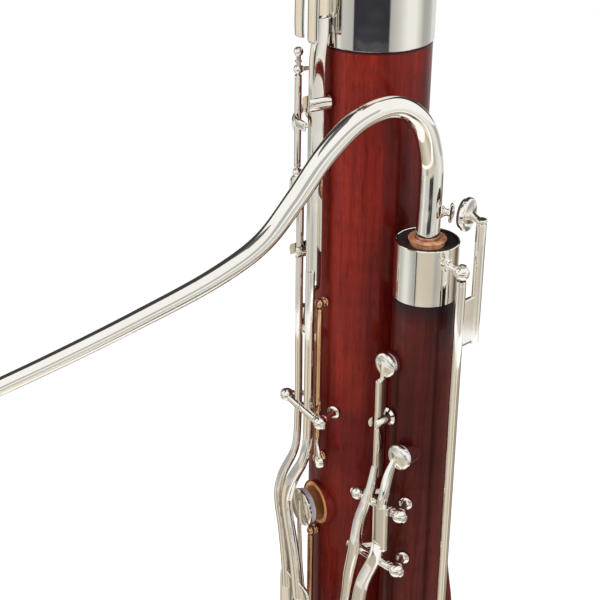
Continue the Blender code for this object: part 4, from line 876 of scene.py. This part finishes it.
def whisper_key():
    x, y = 17.35, -0.9
    turn = math.radians(34)
    out = Vector((math.cos(turn), math.sin(turn), 0))
    seat = out * 7.8 + Vector((0, 0, 10))
    upper, pad = cup_and_pad("axis", seat, out, 4.8)
    top = out * (7.8 + 0.2 + 1.235 + 2.3) + Vector((0, 0, 10))
    riser = Vector((x - 2.5, 7.5 + y, 0))
    upper.rod(riser + Vector((0, 0, -32)), riser + Vector((0, 0, 9.2)), 1.7, soft=0.15)
    upper.rod(riser + Vector((0, 0, 9.0)), riser + Vector((0, 0, 9.9)), 1.15)
    upper.rod(riser + Vector((0, 0, 9.7)), riser + Vector((0, 0, 10.8)), 1.75, soft=0.2)
    upper.rod(riser + Vector((0, 0, 9.6)), top - out * 0.6, 1.0, 1.5)
    upper.rod(top - out * 0.9, top + out * 0.1, 2.2, 1.7, soft=0.1)
    web = ((x + riser.x) / 2, -(y + riser.y) / 2)
    along = riser - Vector((x, y, 0))
    upper.bar([(*web, -15), (*web, -31.4)], 7.4, 1.5, along, 0.3)
    pivot = (x, y, 0)
    upper.swing(pivot, (0, 0, 1), -12.5)
    pad.swing(pivot, (0, 0, 1), -12.5)
    hinge_tube(upper, (x, -y, -5.2), (x, -y, -181), TUBE, WIDE, WIDE)
    lower = [(17.3, 1.4, -168), (18.0, 8, -168), (16.6, 13.4, -168), (14.4, 16.0, -168), (11.4, 16.4, -168)]
    upper.arm(lower, 3.2, 1.4)
    finish_key(upper, pad, "whisper", "brown_pad")
    p = Piece("axis")
    reach = math.hypot(x, y)
    foot = (wing_radius(-181) + 0.3) / reach
    p.post(at(x, -y, -181), at(x * foot, -y * foot, -181))
    p.rod(at(x, -y, -7.95), at(x, -y, -181), 0.7)
    p.screw_end(at(x, -y, -181), (0, 0, -1), WIDE)
    p.done("whisper_axle_finish", "instrument", "silver", "whisper_axle")


def whisper_touch():
    start, end = (4.5, 17.2, -158), (4.5, 17.2, -180)
    p = Piece("axis")
    hinge_tube(p, start, end, SLIM_TUBE, SLIM, SLIM)
    p.arm([(4.5, 17.2, -168), (8, 16.0, -168), (12.6, 14.4, -168)], 3.0, 1.2)
    p.arm([(4.2, 17.3, -171), (0, 18.6, -171), (-4, 19.8, -171)], 3.0, 1.4)
    p.plate(-4.6, 20.2, -171, 9, 12)
    p.done("whisper_touch_finish", "whisper_touch", "silver", "whisper_touch")
    axle_piece("whisper_touch_axle", "axis", start, end, wing_radius, True)


def high_keys():
    start, end = (-10.4, 17, -93), (8.7, 17, -93)
    cup, pad = cup_and_pad("wing", at(-3.5, 11.2, -41.8), (0, -1, 0), 3.6)
    hinge_tube(cup, start, end, TUBE, WIDE, WIDE)
    cup.bar([(-3.45, 15.2, -46.2), (-3.4, 15.2, -60), (-3.4, 15.2, -84)], 1.9, 4.4)
    cup.bar([(-3.5, 14.6, -39.6), (-3.5, 14.7, -47.8)], 1.7, 1.5)
    lever = [
        (-3.5, 16.5, -79, 0.55),
        (-4.1, 17.5, -88, 0.8),
        (-5.6, 18.2, -95),
        (-6.4, 19.9, -100.5),
        (-6.3, 22.2, -111),
        (-8.2, 22.4, -122.5),
        (-9.2, 22.7, -135),
        (-12.6, 23.2, -147),
    ]
    cup.bar(lever, 3.8, 3.6)
    cup.plate(-13.6, 23.4, -153, 8.4, 15)
    finish_key(cup, pad, "high_c")
    axle_piece("high_c_axle", "wing", start, end, wing_radius)

    start, end = (-11.4, 17, -115.2), (8.5, 17, -115.2)
    cup, pad = cup_and_pad("wing", at(4.2, 11.2, -73.6), (0, -1, 0), 3.8)
    hinge_tube(cup, start, end, TUBE, WIDE, WIDE)
    cup.bar([(3.9, 15.0, -73.6, 0.6), (3.3, 17.4, -80), (3.9, 19.7, -85.5), (3.5, 20.3, -90.6)], 2.6, 3.4)
    cup.bar([(3.3, 20.4, -89.6), (3.0, 20.0, -97), (2.4, 19.2, -108)], 6.0, 2.4)
    lever = [(2.4, 19.2, -105), (-0.6, 18.2, -115), (-3.4, 20.6, -124.5), (-3.8, 22.2, -134), (-4.4, 22.8, -150)]
    cup.bar(lever, 4.8, 3.3)
    cup.plate(-4.5, 23.0, -155, 7.6, 15)
    finish_key(cup, pad, "high_a")
    axle_piece("high_a_axle", "wing", start, end, wing_radius)


def long_levers():
    z, out = -68, 24.5
    start, end = (-9.9, out, z), (12.2, out, z)
    axle_piece("lever_axle", "bass", start, end, bass_radius)
    cup, pad = cup_and_pad("bass", at(-9.6, 18.9, 8), (0, -1, 0), 4.6)
    hinge_tube(cup, start, (0.3, out, z), TUBE, WIDE)
    lever = [
        (-3.2, 24.2, 12.5, 0.8),
        (-3.2, 24.2, -30, 0.8),
        (-3.0, 24.2, -76, 0.8),
        (-2.9, 25.3, -86, 0.85),
        (-6.6, 28.0, -97, 0.95),
        (-6.9, 29.5, -104),
        (-6.0, 29.8, -110),
        (-4.3, 29.7, -116),
        (-2.6, 29.6, -125),
        (-1.4, 29.5, -134),
        (-0.4, 29.6, -142),
    ]
    cup.bar(lever, 3.5, 2.5)
    cup.arm([(-3.0, 23.9, 8), (-6.4, 23.3, 8), (-9.6, 21.9, 8)], 4.0, 1.4)
    cup.plate(0.1, 29.6, -148, 9, 27)
    finish_key(cup, pad, "e_flat")

    p = Piece("bass")
    hinge_tube(p, (0.6, out, z), end, TUBE, None, WIDE)
    u = 3.7
    blade = [(u, 22.7, -22), (u, 22.7, 53), (u, 22.4, 58), (u, 21.6, 63.5), (u, 21.5, 69)]
    p.bar(blade, 3.4, 5.2)
    lever = [
        (3.7, 24.1, -14, 0.8),
        (3.7, 24.1, -74, 0.8),
        (4.1, 24.7, -81, 0.8),
        (4.4, 26.5, -87, 0.85),
        (2.2, 28.3, -93, 0.95),
        (0.1, 29.5, -99.5),
        (-0.8, 29.8, -105),
        (0.7, 29.8, -112),
        (3.2, 29.6, -121),
        (5.4, 29.4, -131),
        (7.4, 29.5, -142),
    ]
    p.bar(lever, 4.4, 3.1)
    p.plate(10.2, 29.6, -148, 9.6, 27)
    p.done("b_flat_lever_finish", "b_flat_lever", "silver", "b_flat_lever")


def low_b_key():
    hinge = (-4.0, 25.0)
    cup, pad = cup_and_pad("bass", round_at(-75, 19.3, 31), round_at(-75, 1, 0), 4.5)
    cup.arm(
        [(*hinge, 31), (-10.3, 22.1, 31), (-15.0, 17.8, 31), (-18.8, 13.1, 31), (-21.0, 8.5, 31), (-21.6, 5.8, 31)],
        3.4,
        1.4,
    )
    pivot = at(*hinge, 31)
    cup.swing(pivot, (0, 0, 1), 5.5)
    pad.swing(pivot, (0, 0, 1), 5.5)
    hinge_tube(cup, (*hinge, 51), (*hinge, 16.8), SLIM_TUBE, SLIM, SLIM)
    cup.arm([(*hinge, 35.5), (-1.5, 27.4, 35.5), (2.0, 28.0, 35.5), (5.4, 28.0, 35.5)], 3.4, 1.3)
    cup.rod(at(4.6, 28.0, 35.5), at(4.6, 26.9, 35.5), 0.8)
    finish_key(cup, pad, "low_b")
    p = Piece("bass")
    for z in (51, 16.8):
        reach = math.hypot(*hinge)
        foot = (bass_radius(z) + 0.3) / reach
        p.post(at(*hinge, z), at(hinge[0] * foot, hinge[1] * foot, z), SLIM, True)
    p.rod(at(*hinge, 51), at(*hinge, 16.8), 0.45)
    p.rod(at(*hinge, 51), at(*hinge, 56.6), 0.8)
    p.rod(at(*hinge, 53.2), at(*hinge, 53.8), 1.15, soft=0.12)
    p.ball(at(*hinge, 56.6), SLIM)
    p.done("low_b_axle_finish", "instrument", "silver", "low_b_axle")


def c_sharp_key():
    hinge = (4.6, 20.9)
    start, end = (*hinge, -27.4), (*hinge, -87)
    cup, pad = cup_and_pad("bass", round_at(-40, 19.0, -41), round_at(-40, 1, 0), 3.9)
    tube = Piece("bass")
    hinge_tube(tube, start, end, SLIM_TUBE, SLIM, SLIM)
    # the tube and axle get silver with a painted brown reflection of the wood beside them
    tube.done("c_sharp_tube_finish", "c_sharp_key", "silver", look="silver_painted_wood_reflection")
    cup.arm([(*hinge, -41), (0, 20.9, -41), (-5, 20.8, -41), (-9.5, 20.2, -41), (-13.6, 17.6, -41)], 3.2, 1.1)
    cup.arm([(*hinge, -79), (7.2, 22.3, -81), (9.6, 22.8, -84.5)], 2.4, 1.4)
    cup.rod(at(9.6, 22.5, -85.5), at(9.6, 24.0, -85.5), 2.3, 2.0, soft=0.25)
    finish_key(cup, pad, "c_sharp")
    axle_piece("c_sharp_axle", "bass", start, end, bass_radius, True, "silver_painted_wood_reflection")


def low_d_key():
    z, out, u = -210, 24.6, 4.2
    start, end = (-1.6, out, z), (9.2, out, z)
    cup, pad = cup_and_pad("bass", at(LOW_D_U, 19.5, LOW_D_Z), (0, -1, 0), 6.4, 0.9)
    stem = [
        (1.4, 22.9, -104.5),
        (1.4, 23.2, -113.5),
        (1.3, 23.0, -124),
        (1.5, 22.9, -133),
        (2.8, 22.9, -143),
        (4.0, 23.0, -154),
        (u, 23.4, -168),
        (u, 24.2, -190),
        (u, out, z),
    ]
    cup.bar(stem, 2.0, 1.3)
    cup.rod(at(u, 23.4, -171), at(u, 26.2, -171), 1.5)
    cup.plate(4.4, 26.4, -171, 10, 13)
    cup.swing(at(u, out, z), (1, 0, 0), 1.55)
    pad.swing(at(u, out, z), (1, 0, 0), 1.55)
    hinge_tube(cup, start, end, SLIM_TUBE, SLIM, SLIM)
    finish_key(cup, pad, "low_d")
    axle_piece("low_d_axle", "bass", start, end, bass_radius, True)
    p = Piece("bass")
    inner, outer = 6.1, 7.85
    profile = [(inner, LOW_D_FLOOR + 0.3), (outer, LOW_D_FLOOR + 0.3), (outer, 18.6), (outer - 0.2, 19.1)]
    profile += [(outer - 0.6, 19.42), (inner + 0.8, 19.5), (inner + 0.3, 19.38), (inner, 18.95)]
    p.turned(profile, at(LOW_D_U, 0, LOW_D_Z), (0, -1, 0), 72, ring=True)
    p.done("low_d_seat_ring_finish", "instrument", "silver", "low_d_seat_ring", look="bare_maple")


def low_c_key():
    hinge = (1.1, 20.7)
    start, end = (*hinge, -119.6), (*hinge, -197)
    cup, pad = cup_and_pad("bass", round_at(-33, 18.8, -164), round_at(-33, 1, 0), 4.9)
    cup.arm([(*hinge, -164), (-4, 22.2, -164), (-9.4, 21.4, -164), (-12.2, 18.9, -164)], 3.4, 1.4)
    cup.arm([(*hinge, -185), (-1.0, 23.2, -185), (-5.0, 26.2, -185)], 3.4, 1.4)
    cup.plate(-5.4, 26.6, -185, 10, 13)
    pivot = at(*hinge, -164)
    cup.swing(pivot, (0, 0, 1), 11)
    pad.swing(pivot, (0, 0, 1), 11)
    tube = Piece("bass")
    hinge_tube(tube, start, end, SLIM_TUBE, SLIM, SLIM)
    # the tube and axle get silver with a painted brown reflection of the wood beside them
    tube.done("low_c_tube_finish", "low_c_key", "silver", look="silver_painted_wood_reflection")
    finish_key(cup, pad, "low_c")
    axle_piece("low_c_axle", "bass", start, end, bass_radius, True, "silver_painted_wood_reflection")


def bell_key():
    z, out = 118, 24.2
    start, end = (-6.5, out, z), (11.5, out, z)
    cup, pad = cup_and_pad("bass", at(4, 18.0, 160), (0, -1, 0), 4.6)
    cup.bar([(4.6, 24.4, 116), (4.4, 23.8, 130), (4, 21.6, 156), (4, 21.2, 163)], 2.6, 1.7)
    cup.swing(at(4, out, z), (1, 0, 0), 2.75)
    pad.swing(at(4, out, z), (1, 0, 0), 2.75)
    hinge_tube(cup, start, end, SLIM_TUBE, SLIM, SLIM)
    cup.bar([(4.8, 24.9, 120), (5.0, 25.3, 90), (5.2, 25.5, 61.5)], 5.4, 1.5)
    cup.bar([(-1.6, 25.9, 84), (-1.6, 26.3, 66), (-1.4, 26.2, 62)], 5.0, 1.3)
    cup.arm([(6.0, 25.4, 80), (1.5, 25.8, 80), (-3.0, 26.1, 80)], 7.0, 1.3)
    finish_key(cup, pad, "bell")
    axle_piece("bell_axle", "bass", start, end, bell_radius, True)


def boot_key(prefix, where, start, end, pivot, arm, stem, plate, seat, opening):
    cup, pad = cup_and_pad(where, seat, (0, -1, 0), 4.9)
    cup.bar(arm, 2.6, 1.7)
    cup.bar(stem, 2.8, 1.7)
    cup.plate(*plate)
    cup.swing(pivot, (1, 0, 0), -opening)
    pad.swing(pivot, (1, 0, 0), -opening)
    hinge_tube(cup, start, end, SLIM_TUBE, SLIM, SLIM)
    finish_key(cup, pad, prefix)
    p = Piece(where)
    along = (at(*end) - at(*start)).normalized()
    for place, way in ((start, -along), (end, along)):
        p.post(at(*place), at(place[0], boot_radius(place[2]) + 0.3, place[2]), SLIM, True)
        p.screw_end(at(*place), way, SLIM)
    p.rod(at(*start), at(*end), 0.45)
    p.done(prefix + "_axle_finish", "instrument", "silver", prefix + "_axle")


def boot_keys():
    arm = [(-5, 24, 207), (-8, 23.8, 192), (-12, 22.4, 171), (-12, 22.2, 165)]
    stem = [(0, 24, 207), (1.5, 24.6, 186), (3, 25.2, 160)]
    plate, seat = (3.4, 25.7, 152, 20, 20), at(-12, 18.6, 168)
    boot_key("low_e", "front", (-11, 24, 206), (5, 24, 206), at(-3, 24, 206), arm, stem, plate, seat, 4)
    arm = [(6, 24, 161), (9, 23.6, 130), (10, 22.4, 108), (10, 22.2, 102)]
    stem = [(0, 24, 161), (-3.5, 24.8, 150), (-6, 25.2, 142)]
    plate, seat = (-7, 25.7, 134, 12, 20), at(10, 18.6, 105)
    boot_key("low_f", "back", (-6, 24, 160), (12, 24, 160), at(3, 24, 160), arm, stem, plate, seat, 4)


def guide(name, where, u, z, surface, width, outer, inner, flange):
    """A slotted post: a round shank that parts into two cheeks with rounded tops."""
    p = Piece(where)
    radius = width / 2 + 1.15
    foot, slot_low, top = surface + 0.4, inner - 0.5, outer + 1.3
    profile = [(radius * flange, foot), (radius * flange, foot + 0.5), (radius * (1 + flange) / 2, foot + 0.8)]
    profile += [(radius, foot + 1.1), (radius, slot_low)]
    p.turned(profile, at(u, 0, z), (0, -1, 0), 40)
    gap = width / 2 + 0.3
    for way in (-1, 1):
        cheek = [(radius, slot_low - 0.2), (radius, top - 0.35), (radius - 0.1, top - 0.1), (radius - 0.3, top)]
        p.turned(cheek, at(u, 0, z), (0, -1, 0), 48)
        cut_away(at(u + way * gap, 0, z), (way, 0, 0))
    p.done(name + "_finish", "instrument", "silver", name)


# Crook and ferrules

def crook_tube():
    """The crook: a circle extruded along the bent route and narrowed as it goes, then given its wall."""
    route = [(0, -22), (0, 2), (-0.3, 15), (0.3, 28), (4.6, 39.5), (14.5, 46.5), (27, 45)]
    route += [(38.5, 37), (50, 24), (61, 13), (76, 5.8), (104, -2), (130, -8), (150, -12)]
    turn = math.radians(-95)
    out = Vector((math.cos(turn), math.sin(turn), 0))
    places = smooth_path([out * s + Vector((0, 0, z)) for s, z in route], 8)
    base, tip = 4.08, 2.55
    lengths = [0.0]
    for a, b in zip(places, places[1:]):
        lengths.append(lengths[-1] + (b - a).length)
    for place, length in zip(places, lengths):
        place.w = 1 + (tip / base - 1) * length / lengths[-1]
    p = Piece("axis")
    edit(p.body)
    bpy.ops.mesh.primitive_circle_add(vertices=32, radius=base, fill_type="NOTHING")
    follow(places, Vector((-out.y, out.x, 0)))
    bpy.ops.mesh.select_all(action="SELECT")
    bpy.ops.mesh.normals_make_consistent(inside=False)
    finish_with(p.body, "SOLIDIFY", thickness=0.68, offset=-1)
    finish_with(p.body, "SUBSURF", levels=1, render_levels=1)
    p.done("crook_finish", "crook", "silver", "crook")


def crook_fittings():
    p = Piece("axis")
    profile = [(5.6, 0.95), (5.95, 0.88), (6.15, 0.6), (6.15, 0.2), (5.9, 0.0), (5.5, 0.0), (5.45, -20)]
    profile += [(4.12, -20), (4.12, 0.85), (4.3, 0.95)]
    p.turned(profile, sides=72, ring=True)
    p.done("crook_cork_finish", "crook", "cork", "crook_cork")
    p = Piece("axis")
    turn = math.radians(34)
    nipple = [
        (2.4, 7.8),
        (2.9, 7.65),
        (3.2, 7.3),
        (3.2, 6.95),
        (2.7, 6.75),
        (1.35, 6.4),
        (1.1, 5.9),
        (1.2, 5.3),
        (1.7, 4.75),
        (2.0, 4.5),
        (2.0, 4.28),
        (0.5, 4.28),
        (0.5, 7.5),
    ]
    p.turned(nipple, (0, 0, 10), (math.cos(turn), math.sin(turn), 0), 44, ring=True)
    p.done("crook_vent_nipple_finish", "crook", "silver", "crook_vent_nipple")


def ferrules():
    p = Piece("axis")
    low, high, inner, outer = -19.2, 0.0, 9.8, 10.5
    profile = [(inner, high - 0.15), (inner + 0.15, high), (outer - 0.2, high), (outer, high - 0.2)]
    profile += [(outer, low + 0.2), (outer - 0.2, low), (inner, low)]
    p.turned(profile, sides=144, ring=True)
    ball = Vector((17.35, -0.9, -5.2))
    p.post(ball, Vector((0, 0, -5.2)) + Vector((17.35, -0.9, 0)).normalized() * 10.2)
    p.screw_end(ball, (0, 0, 1), WIDE)
    p.done("wing_top_ferrule_finish", "instrument", "silver", "wing_top_ferrule")

    p = Piece("bass")
    low, high = 59.3, 85.3
    profile = [(18.4, high), (18.95, high), (19.1, high - 0.15), (19.1, low + 0.25), (18.9, low), (18.4, low)]
    p.turned(profile, sides=160, ring=True)
    p.done("bell_lower_ferrule_finish", "instrument", "silver", "bell_lower_ferrule")

    p = Piece("bass")
    top, low = 285.0, 273.9
    profile = [(12.0, top - 0.2), (12.2, top), (19.0, top), (19.4, top - 0.2), (19.8, top - 2.0), (20.1, top - 4.4)]
    profile += [(20.1, top - 5.4), (19.8, top - 7.6), (19.4, low + 0.2), (19.2, low), (18.5, low), (18.5, 284.3)]
    profile += [(12.0, 284.3)]
    p.turned(profile, sides=128, ring=True)
    p.done("bell_top_ring_finish", "instrument", "silver", "bell_top_ring")

    p = Piece("axis")
    liner = [(9.5, -0.55), (9.3, -0.4), (6.4, -1.0), (5.8, -1.3), (5.8, -12), (9.5, -12)]
    p.turned(liner, sides=96, ring=True)
    p.done("wing_receiver_liner_finish", "instrument", "black_liner", "wing_receiver_liner")


bass_joint()
wing_joint()
bell_joint()
boot_joint()
boot_metal()
crook_tube()
crook_fittings()
ferrules()
whisper_key()
whisper_touch()
high_keys()
long_levers()
low_b_key()
c_sharp_key()
low_d_key()
low_c_key()
bell_key()
boot_keys()
guide("high_c_lever_guide", "wing", -3.4, -62, wing_radius(-62), 1.9, 17.4, 13.0, 1.45)
guide("e_flat_lever_guide", "bass", -3.2, -10.2, bass_radius(-10.2), 2.9, 25.5, 22.9, 1.45)
guide("b_flat_lever_guide", "bass", 3.7, 42, bass_radius(42), 3.4, 25.3, 20.1, 1.0)
bpy.data.objects.remove(SCREW_END, do_unlink=True)

slots = {part["node"]: part["material_slot"] for part in frame["record"]["subparts"]}
for name, node in frame["nodes"].items():
    node.data.materials.clear()
    node.data.materials.append(FINISHES[slots[name]])


# Studio

def make_world():
    """A soft white room that lights the object at 0.5 and is plain white where it is looked at."""
    f = Finish("studio", "worlds")
    bpy.context.scene.world = f.material
    f.fill(f.tree.nodes["Background"], {"Color": (0.97, 0.98, 1.0), "Strength": 0.5})
    white = f.node("ShaderNodeBackground", {}, {"Color": (1, 1, 1)})
    lit = Value(f, f.tree.nodes["Background"].outputs[0])
    blend = f.node("ShaderNodeMixShader", {}, {0: f.seen_directly(), 1: lit, 2: white})
    f.fill(f.tree.nodes["World Output"], {"Surface": blend})


def lamp(name, place, target, size, power, colour=(1, 1, 1)):
    work_on()
    bpy.ops.object.light_add(type="AREA")
    made = bpy.context.object
    made.name = name
    made.data.shape = "RECTANGLE"
    made.data.size, made.data.size_y = size
    made.data.energy = power
    made.data.color = colour
    direction = Vector(place) - Vector(target)
    made.matrix_world = Matrix.Translation(place) @ direction.to_track_quat("Z", "Y").to_matrix().to_4x4()
    made.visible_glossy = False


def card(name, reach, low, high, tones, lean=0.0):
    """A curved card that only reflections see, with a tone for each azimuth named."""
    start, end = min(tones), max(tones)
    work_on()
    bpy.ops.mesh.primitive_circle_add(vertices=240, radius=reach, fill_type="NOTHING", location=(0, 0, low))
    made = bpy.context.object
    made.name = name
    bpy.ops.object.transform_apply()
    bpy.ops.object.mode_set(mode="EDIT")
    extrude((0, 0, high - low))
    if lean:
        scale((lean, lean, 1), (0, 0, high))
    bpy.ops.mesh.select_all(action="DESELECT")
    mesh = bmesh.from_edit_mesh(made.data)
    for face in mesh.faces:
        place = face.calc_center_median()
        face.select = not 0 <= (math.degrees(math.atan2(place.y, place.x)) - start) % 360 <= end - start
    bpy.ops.mesh.delete(type="FACE")
    bpy.ops.object.mode_set(mode="OBJECT")
    f = Finish(name)
    middle = math.radians((start + end) / 2)
    near = f.x * math.cos(middle) + f.y * math.sin(middle)
    aside = f.y * math.cos(middle) - f.x * math.sin(middle)
    half = math.radians(end - start) / 2
    share = aside.math("ARCTAN2", aside, near).share(-half, half)
    stops = [((azimuth - start) / (end - start), tone) for azimuth, tone in sorted(tones.items())]
    f.set(Base_Color=(0, 0, 0), Roughness=1.0, Specular_IOR_Level=0.0, Emission_Strength=1.0)
    f.set(Emission_Color=share.ramp(*stops))
    made.data.materials.append(f.material)
    made.visible_camera = made.visible_shadow = made.visible_diffuse = False


def make_floor():
    """A pale floor that keeps the object's shadow; what it gives off is only seen, and lights nothing."""
    work_on()
    bpy.ops.mesh.primitive_plane_add(size=8, location=(0, 0, -0.0005))
    floor = bpy.context.object
    floor.name = "floor"
    f = Finish("floor")
    path = f.node("ShaderNodeLightPath", {}, {})
    camera, glossy, through = (Value(f, path.socket.node.outputs[f"Is {kind} Ray"]) for kind in RAYS)
    reflected = glossy.math("MAXIMUM", glossy, through)
    glow = camera * FLOOR_SEEN + reflected * FLOOR_MIRRORED
    tint = f.mix(glow, (0, 0, 0), (1, 1, 1))
    f.set(Base_Color=(0.85, 0.85, 0.85), Roughness=0.9, Specular_IOR_Level=0.0)
    f.set(Emission_Color=tint, Emission_Strength=1.0)
    floor.data.materials.append(f.material)


def grey(value):
    return (value * 1.01, value, value * 0.97)


def warm(value):
    return (value * 1.11, value, value * 0.83)


DARK_LINE = (0.036, 0.036, 0.048)
BROWN_LINE = (0.11, 0.07, 0.035)
FLOOR_SEEN, FLOOR_MIRRORED = 0.55, 0.28
bpy.context.scene.view_settings.view_transform = "Standard"
make_camera()
make_world()
make_floor()
AIM = (0, 0, 0.55)
lamp("key_left", (-0.5, -1.6, 1.2), AIM, (0.9, 1.6), 17)
lamp("fill_right", (1.5, 0.3, 1.0), AIM, (0.6, 1.6), 17)

# Cards, by what they show in; a lower part mirrors a lower band, because the camera looks down on it

card("levers_band", 0.5, 0.0, 0.31, {
    -178: warm(0.2), -164: warm(0.16), -159: warm(0.66), -146: warm(0.7), -134: BROWN_LINE, -129: warm(0.45),
    -104: warm(0.5), -78: warm(0.66), -54: warm(0.7), -30: warm(0.5), -20: warm(0.45), -4: warm(0.84),
    12: warm(0.7), 18: BROWN_LINE, 30: warm(0.42), 50: warm(0.34), 85: warm(0.2), 110: warm(0.3), 180: grey(0.32),
})
card("wing_ferrule_band", 0.88, 0.14, 0.236, {
    -178: grey(0.5), -173: grey(0.6), -172: DARK_LINE, -168: DARK_LINE, -167: grey(0.75), -140: grey(0.5),
    -120: grey(0.8), -108: grey(0.8), -97: grey(0.57), -86: grey(0.44), -78.5: grey(0.4),
    -78.4: DARK_LINE, -74.5: DARK_LINE, -74: warm(0.5), -67: warm(0.6), -20: warm(0.56), -9: grey(0.42),
    0: grey(0.46), 30: grey(0.82), 60: warm(0.5), 80: BROWN_LINE, 105: warm(0.35),
})
card("crook_foot_band", 0.88, 0.237, 0.262, {
    -170: grey(0.42), -128: grey(0.42), -107: grey(0.92), -89: grey(0.6), -60: warm(0.62), -15: warm(0.6),
    12: grey(0.67), 52: grey(0.91), 90: BROWN_LINE, 112: warm(0.4),
})
card("crook_band", 0.88, 0.263, 0.307, {
    -170: grey(0.42), -128: grey(0.42), -107: grey(0.92), -89: grey(0.6), -60: grey(0.62), -52: DARK_LINE,
    -24: DARK_LINE, -17: grey(0.6), 12: grey(0.67), 52: grey(0.91), 90: BROWN_LINE, 112: warm(0.4),
})
card("crook_upper_band", 0.88, 0.308, 0.38, {
    -170: grey(0.42), -128: grey(0.42), -107: grey(0.92), -89: grey(0.6), -60: warm(0.78), -15: grey(0.7),
    12: grey(0.7), 52: grey(0.9), 90: grey(0.5),
})
card("bell_ferrule_band", 0.88, 0.385, 0.58, {
    -178: warm(0.3), -168: BROWN_LINE, -162: warm(0.72), -137: warm(0.8), -130: grey(0.4), -108: grey(0.85), -104: grey(0.6), -80: grey(0.48), -79: DARK_LINE,
    -13: DARK_LINE, -10: grey(0.46), 8: grey(0.64), 17: grey(0.79), 25: grey(0.9), 44: grey(0.9),
    54: grey(0.69), 66: grey(0.42), 79: grey(0.42), 96: grey(0.59),
})
card("front_high", 1.0, 0.78, 1.16, {-50: grey(0.45), 20: grey(0.55)})
card("left_overhead", 0.75, 1.42, 2.3, {-155: grey(0.1), -95: grey(0.16)}, lean=0.7)
card("left_high", 1.0, 1.02, 1.42, {-118: grey(0.42), -96: grey(0.42)})
card("back_dark", 1.05, 0.55, 1.9, {95: grey(0.045), 206: grey(0.06)}, lean=0.45)
